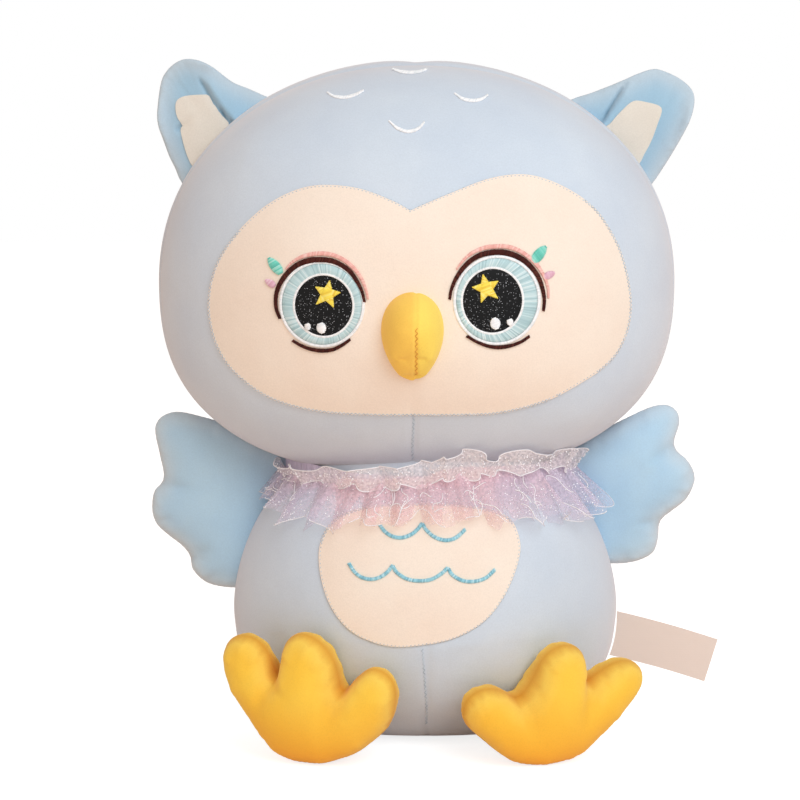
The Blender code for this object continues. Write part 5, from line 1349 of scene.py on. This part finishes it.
earPatchLook = {"step": 0.0020, "cell": 0.0024, "lift": 0.0008, "thick": 0.0010}
for side, ear in ears.items():
    outline = evenLoop(roundedLoop(inMetres(earLook[f"{side}Patch"]), 5), earPatchLook["step"])
    patch = layOn(f"{side}EarPatch", outline, earPatchLook["cell"], treeOf(ear), earPatchLook["lift"],
                  earPatchLook["thick"])
    dress(patch, earCream, "ear_cream", f"{side}_ear", (f"{side}_ear_patch",))
report("ear patches are laid")

# collar: a gathered skirt over an underskirt and a short upright frill, all of glitter tulle


def ringPoint(shape, turn, z, off):
    # a point round the form at that height, turn 0 at the front and 90 degrees at the toy's left
    centre = Vector(shape["centre"])
    tall, power = (shape["above"], shape["topPower"]) if z > centre.z else (shape["below"], shape["bottomPower"])
    level = max(1 - abs((z - centre.z) / tall) ** power, 0.0) ** (1 / power)
    x, y = math.sin(turn), -math.cos(turn)
    deep = shape["front"] if y < 0 else shape["back"]
    reach = level * (abs(x / shape["halfWidth"]) ** shape["roundPower"]
                     + abs(y / deep) ** shape["roundPower"]) ** (-1 / shape["roundPower"])
    return Vector((centre.x + x * (reach + off), centre.y + y * (reach + off), z))


collarLook = {
    "lineZ": 0.175, "columns": 960, "thinning": 1.0,
    # heights in millimetres by degrees from the front, the toy's left counted up
    "hem": [(-180, 150), (-90, 158), (-72, 160), (-60, 152), (-30, 150), (-14, 156), (10, 157), (35, 155), (52, 153),
            (66, 152), (80, 160), (90, 160), (180, 150)],
    "line": [(-180, 176), (-70, 178), (-20, 179), (0, 181), (6, 185), (14, 187), (60, 186), (90, 181), (180, 176)],
    "crest": [(-180, 188), (-120, 187), (-90, 184), (-72, 183), (-48, 184), (-35, 186), (-20, 188), (-5, 190),
              (2, 191), (5, 198), (14, 199), (26, 194), (45, 197), (62, 194), (80, 190), (90, 187), (180, 188)],
    "foot": [(-180, 175), (-60, 174), (-20, 174), (0, 176), (6, 180), (30, 183), (70, 181), (90, 177), (180, 175)],
    "skirt": {"rows": 12, "flare": 0.020, "folds": 33, "depth": 0.0056, "start": 0.0050, "ragged": 0.0082,
              "long": 0.000},
    "underskirt": {"rows": 10, "flare": 0.011, "folds": 29, "depth": 0.0042, "start": 0.0030, "ragged": 0.0050,
                   "long": 0.003},
    "frill": {"rows": 6, "flare": 0.007, "folds": 19, "depth": 0.0046, "start": 0.0120},
    # where the skirt and the frill lie closer: degrees, spread, and a share of the flare or metres
    "close": [(-86, 34, -0.65)],
    "frillClose": [(-86, 30, -0.009), (80, 18, -0.004)],
}


def waver(seed, count, low, high):
    # a smooth random wave round the neck
    dice = random.Random(seed)
    parts = [(dice.randint(low, high), dice.uniform(0, 2 * math.pi), dice.uniform(0.5, 1.0)) for _ in range(count)]
    whole = sum(p[2] for p in parts)
    return lambda turn: sum(size * math.sin(beat * turn + start) for beat, start, size in parts) / whole


def inDegrees(turn):
    return (math.degrees(turn) + 180) % 360 - 180


def heightAt(table, turn):
    return float(np.interp(inDegrees(turn), [row[0] for row in table], [row[1] for row in table])) / 1000


def closerAt(table, turn):
    return sum(far * math.exp(-(inDegrees(turn) - at) ** 2 / wide ** 2) for at, wide, far in table)


def ruffled(name, look, rows, spotAt):
    # a closed ring of cloth; spotAt gives the point at a share of its depth and a turn round the neck
    columns = look["columns"]
    points = [spotAt(row / rows, 2 * math.pi * k / columns) for row in range(rows + 1) for k in range(columns)]
    faces = [(row * columns + k, row * columns + (k + 1) % columns, (row + 1) * columns + (k + 1) % columns,
              (row + 1) * columns + k) for row in range(rows) for k in range(columns)]
    piece = fromFaces(name, points, faces)
    markCloth(piece, "down", [look["thinning"] * row / rows for row in range(rows + 1) for _ in range(columns)])
    smooth(piece, 180)
    report(f"{name} is gathered from {sum(p.area for p in piece.data.polygons):.4f} m2")
    return piece


def makeSkirt(name, look, part, seed):
    cut = look[part]
    drift, hem, deeper = waver(seed, 5, 2, 9), waver(seed + 1, 6, 5, 23), waver(seed + 2, 4, 2, 11)
    tips = waver(seed + 3, 5, 17, 41)

    def spotAt(s, turn):
        beat = cut["folds"] * turn + 2.6 * drift(turn)
        size = cut["depth"] * (1 + 0.6 * deeper(turn)) * (0.10 + 0.90 * s)
        top = heightAt(look["line"], turn)
        points = abs((turn * 17 / math.pi + 1.3 * drift(turn)) % 2 - 1)  # corners of the cut hem
        edge = heightAt(look["hem"], turn) - cut["long"] + cut["ragged"] * (
            0.75 * hem(turn) + 0.55 * tips(turn) + 0.9 * (points - 0.5))
        out = cut["flare"] * (1 + closerAt(look["close"], turn))
        off = cut["start"] + out * s ** 0.85 + size * math.sin(beat) + 0.0012 * (1 - s) * math.sin(2.6 * beat)
        lean = 0.030 * s * math.sin(2 * beat + 0.6) / cut["folds"] * 6
        z = top + (edge - top) * s ** 1.1
        neck = ringPoint(bodyShape, turn + lean, look["lineZ"], off)
        wider = ringPoint(bodyShape, turn + lean, max(min(z, look["lineZ"]), 0.140), off)
        return (0.55 * neck.x + 0.45 * wider.x, 0.55 * neck.y + 0.45 * wider.y, z)

    return ruffled(name, look, cut["rows"], spotAt), spotAt


def makeFrill(name, look, seed):
    cut = look["frill"]
    drift, rim, deeper = waver(seed, 5, 2, 9), waver(seed + 1, 5, 7, 25), waver(seed + 2, 4, 2, 7)

    def spotAt(s, turn):
        beat = cut["folds"] * turn + 3.2 * drift(turn)
        size = cut["depth"] * (1 + 0.5 * deeper(turn)) * (0.55 + 0.45 * s)
        low = heightAt(look["foot"], turn) + 0.0016 * math.sin(1.7 * beat) + 0.0014 * rim(2 * turn + 1)
        high = heightAt(look["crest"], turn) + 0.0034 * rim(turn) + 0.0014 * math.cos(beat)
        off = (cut["start"] + closerAt(look["frillClose"], turn) + cut["flare"] * s + size * math.sin(beat)
               + 0.0008 * math.sin(3 * beat) * (1 - s))
        spot = ringPoint(bodyShape, turn + 0.02 * math.sin(2 * beat), look["lineZ"], off)
        return (spot.x, spot.y, low + (high - low) * s)

    return ruffled(name, look, cut["rows"], spotAt), spotAt


neckLook = {"low": 0.163, "high": 0.208, "off": -0.0015, "bends": (0.177, 0.198), "frillBends": (0.176, 0.206)}


def dressNeck(piece, finish, nodes=()):
    # what hangs between the body and the head gets its finish and stays in place, on neither body
    piece.data.materials.clear()
    piece.data.materials.append(finish)
    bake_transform(piece)
    if nodes:
        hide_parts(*nodes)


def neckSpot(s, turn):
    # the throat of the body cloth, sewn into the head
    return ringPoint(bodyShape, turn, collarLook["lineZ"], neckLook["off"])[:2] + (
        neckLook["low"] + (neckLook["high"] - neckLook["low"]) * s,)


neck = ruffled("neckCloth", {**collarLook, "columns": 180}, 16, neckSpot)
dressNeck(neck, paleBlue)
skirt, skirtSpot = makeSkirt("collarSkirt", collarLook, "skirt", 11)
dress(skirt, lilacTulle, "lilac_tulle", "body", ("collar_skirt",))
under, _underSpot = makeSkirt("collarUnderskirt", collarLook, "underskirt", 23)
dress(under, lilacTulle, "lilac_tulle", "body")
bandLook = {"low": 0.166, "high": 0.181, "sideRise": 0.009, "off": 0.0016, "puckers": 96, "pucker": 0.0005}


def bandSpot(s, turn):
    # the ribbon that the tulle is gathered on, puckered by the stitches
    top = bandLook["high"] + bandLook["sideRise"] * math.sin(turn) ** 4
    height = bandLook["low"] + (top - bandLook["low"]) * s
    off = bandLook["off"] + bandLook["pucker"] * math.sin(bandLook["puckers"] * turn)
    return ringPoint(bodyShape, turn, collarLook["lineZ"], off)[:2] + (height,)


band = ruffled("collarBand", collarLook, 3, bandSpot)
dress(band, lilacRibbon, "lilac_tulle", "body", ("collar_band",))
frill, frillSpot = makeFrill("collarFrill", collarLook, 37)
dressNeck(frill, pinkTulle, ("collar_frill",))


def thread(name, lines, thick, closed=False):
    # round threads, one along each line of points
    curve = bpy.data.curves.new(name, "CURVE")
    curve.dimensions = "3D"
    curve.bevel_depth = thick / 2
    curve.bevel_resolution = 0
    for line in lines:
        run = curve.splines.new("POLY")
        run.points.add(len(line) - 1)
        for point, spot in zip(run.points, line):
            point.co = (*spot, 1)
        run.use_cyclic_u = closed
    piece = bpy.data.objects.new(name, curve)
    scene.collection.objects.link(piece)
    alone(piece)
    bpy.ops.object.convert(target="MESH")
    piece = bpy.context.object
    smooth(piece, 180)
    return piece


trimLook = {
    "piping": 0.0008, "tinsel": 0.0006, "strands": 84, "step": 0.0010, "hem": 0.00050,
    "sequins": 300, "sequin": 0.00065, "sequinLift": 0.0005, "tinselLift": 0.0006,
}


def outFrom(spot, far):
    # the same point, a little further from the neck
    way = Vector((spot[0], spot[1], 0)).normalized()
    return Vector(spot) + way * far


steps = [2 * math.pi * k / 1440 for k in range(1440)]  # round the neck
edges = [[outFrom(frillSpot(1.0, turn), 0.0) for turn in steps],
         [outFrom(frillSpot(0.0, turn), 0.0004) for turn in steps]]
piping = thread("frillPiping", edges, trimLook["piping"], closed=True)
dressNeck(piping, pearlThread)


def tinselLines(look, seed):
    # short curls of tinsel caught in the net, each on the skirt's outside
    dice = random.Random(seed)
    lines = []
    for _ in range(look["strands"]):
        turn, s = dice.uniform(-math.pi, math.pi), dice.uniform(0.35, 0.95)
        heading, bend = dice.uniform(0, 2 * math.pi), dice.choice((-1, 1)) * dice.uniform(0.12, 0.42)
        line = []
        for step in range(dice.randint(9, 20)):
            line.append(outFrom(skirtSpot(min(max(s, 0.05), 1.0), turn), look["tinselLift"]))
            heading += bend * math.sin(0.35 * step + 0.8)
            turn += look["step"] * math.cos(heading) / 0.115  # the skirt's reach from the middle
            s += look["step"] * math.sin(heading) / 0.026  # and its depth
        lines.append(line)
    return lines


tinsel = thread("skirtTinsel", tinselLines(trimLook, 5), trimLook["tinsel"])
dress(tinsel, pearlThread, "white_thread", "body")


def hemRuns(seed):
    # the bright thread shows on the hem only here and there
    dice = random.Random(seed)
    runs, at = [], 0
    while at < len(steps) - 20:
        end = min(at + dice.randint(8, 46), len(steps))
        runs.append([outFrom(skirtSpot(1.0, turn), 0.0) for turn in steps[at:end]])
        at = end + dice.randint(8, 40)
    return runs


hemThread = thread("skirtHemThread", hemRuns(13), trimLook["hem"])
dress(hemThread, pearlThread, "white_thread", "body")


def makeOneSequin():
    bpy.ops.object.select_all(action="DESELECT")
    bpy.ops.mesh.primitive_ico_sphere_add(subdivisions=1, radius=1)
    sequin = bpy.context.object
    points = np.array([v.co[:] for v in sequin.data.vertices])
    faces = [tuple(f.vertices) for f in sequin.data.polygons]
    bpy.data.objects.remove(sequin)
    return points, faces


def makeSequins(look, seed):
    # pearl dots, scattered over the frill's outside
    dice = random.Random(seed)
    one, oneFaces = makeOneSequin()
    points, faces = [], []
    for _ in range(look["sequins"]):
        turn, s = dice.uniform(-math.pi, math.pi), dice.uniform(0.12, 0.9)
        spot = outFrom(frillSpot(s, turn), look["sequinLift"])
        size = look["sequin"] * dice.uniform(0.75, 1.2)
        base = len(points)
        points += list(np.array(spot) + one * size)
        faces += [tuple(base + i for i in face) for face in oneFaces]
    piece = fromFaces("frillSequins", points, faces)
    smooth(piece, 180)
    dressNeck(piece, pearlThread)


makeSequins(trimLook, 3)
report("collar is gathered")

# care label: a bare strip of satin ribbon in the side seam

labelLook = {"length": 0.068, "height": 0.031, "z": 0.060, "droop": 16.5, "sag": 0.0016, "arch": 0.0012,
             "sewnIn": 0.001, "thick": 0.0005, "columns": 28, "rows": 10}


def makeLabel(look):
    droop = math.radians(look["droop"])
    outward = Vector((math.cos(droop), 0, -math.sin(droop)))
    upward = Vector((math.sin(droop), 0, math.cos(droop)))
    end = ringPoint(bodyShape, math.pi / 2, look["z"], 0.0003) + outward * look["length"]
    points, faces = [], []
    for row in range(look["rows"] + 1):
        rise = (row / look["rows"] - 0.5) * look["height"]
        start = ringPoint(bodyShape, math.pi / 2, look["z"] + rise, -look["sewnIn"])
        finish = end + upward * rise
        for column in range(look["columns"] + 1):
            s = column / look["columns"]
            spot = start.lerp(finish, s)
            curl = look["sag"] * math.sin(math.pi * s) * (1 + 0.5 * (row / look["rows"] - 0.5))
            points.append((spot.x, spot.y - curl, spot.z + look["arch"] * math.sin(math.pi * s)))
    wide = look["columns"] + 1
    for row in range(look["rows"]):
        for column in range(look["columns"]):
            a = row * wide + column
            faces.append((a, a + 1, a + wide + 1, a + wide))
    label = fromFaces("careLabel", points, faces)
    giveWall(label, look["thick"], 0)
    smooth(label, 50)
    dress(label, whiteRibbon, "label_satin", "label", ("care_label",))
    return label


makeLabel(labelLook)
report("label is sewn in")
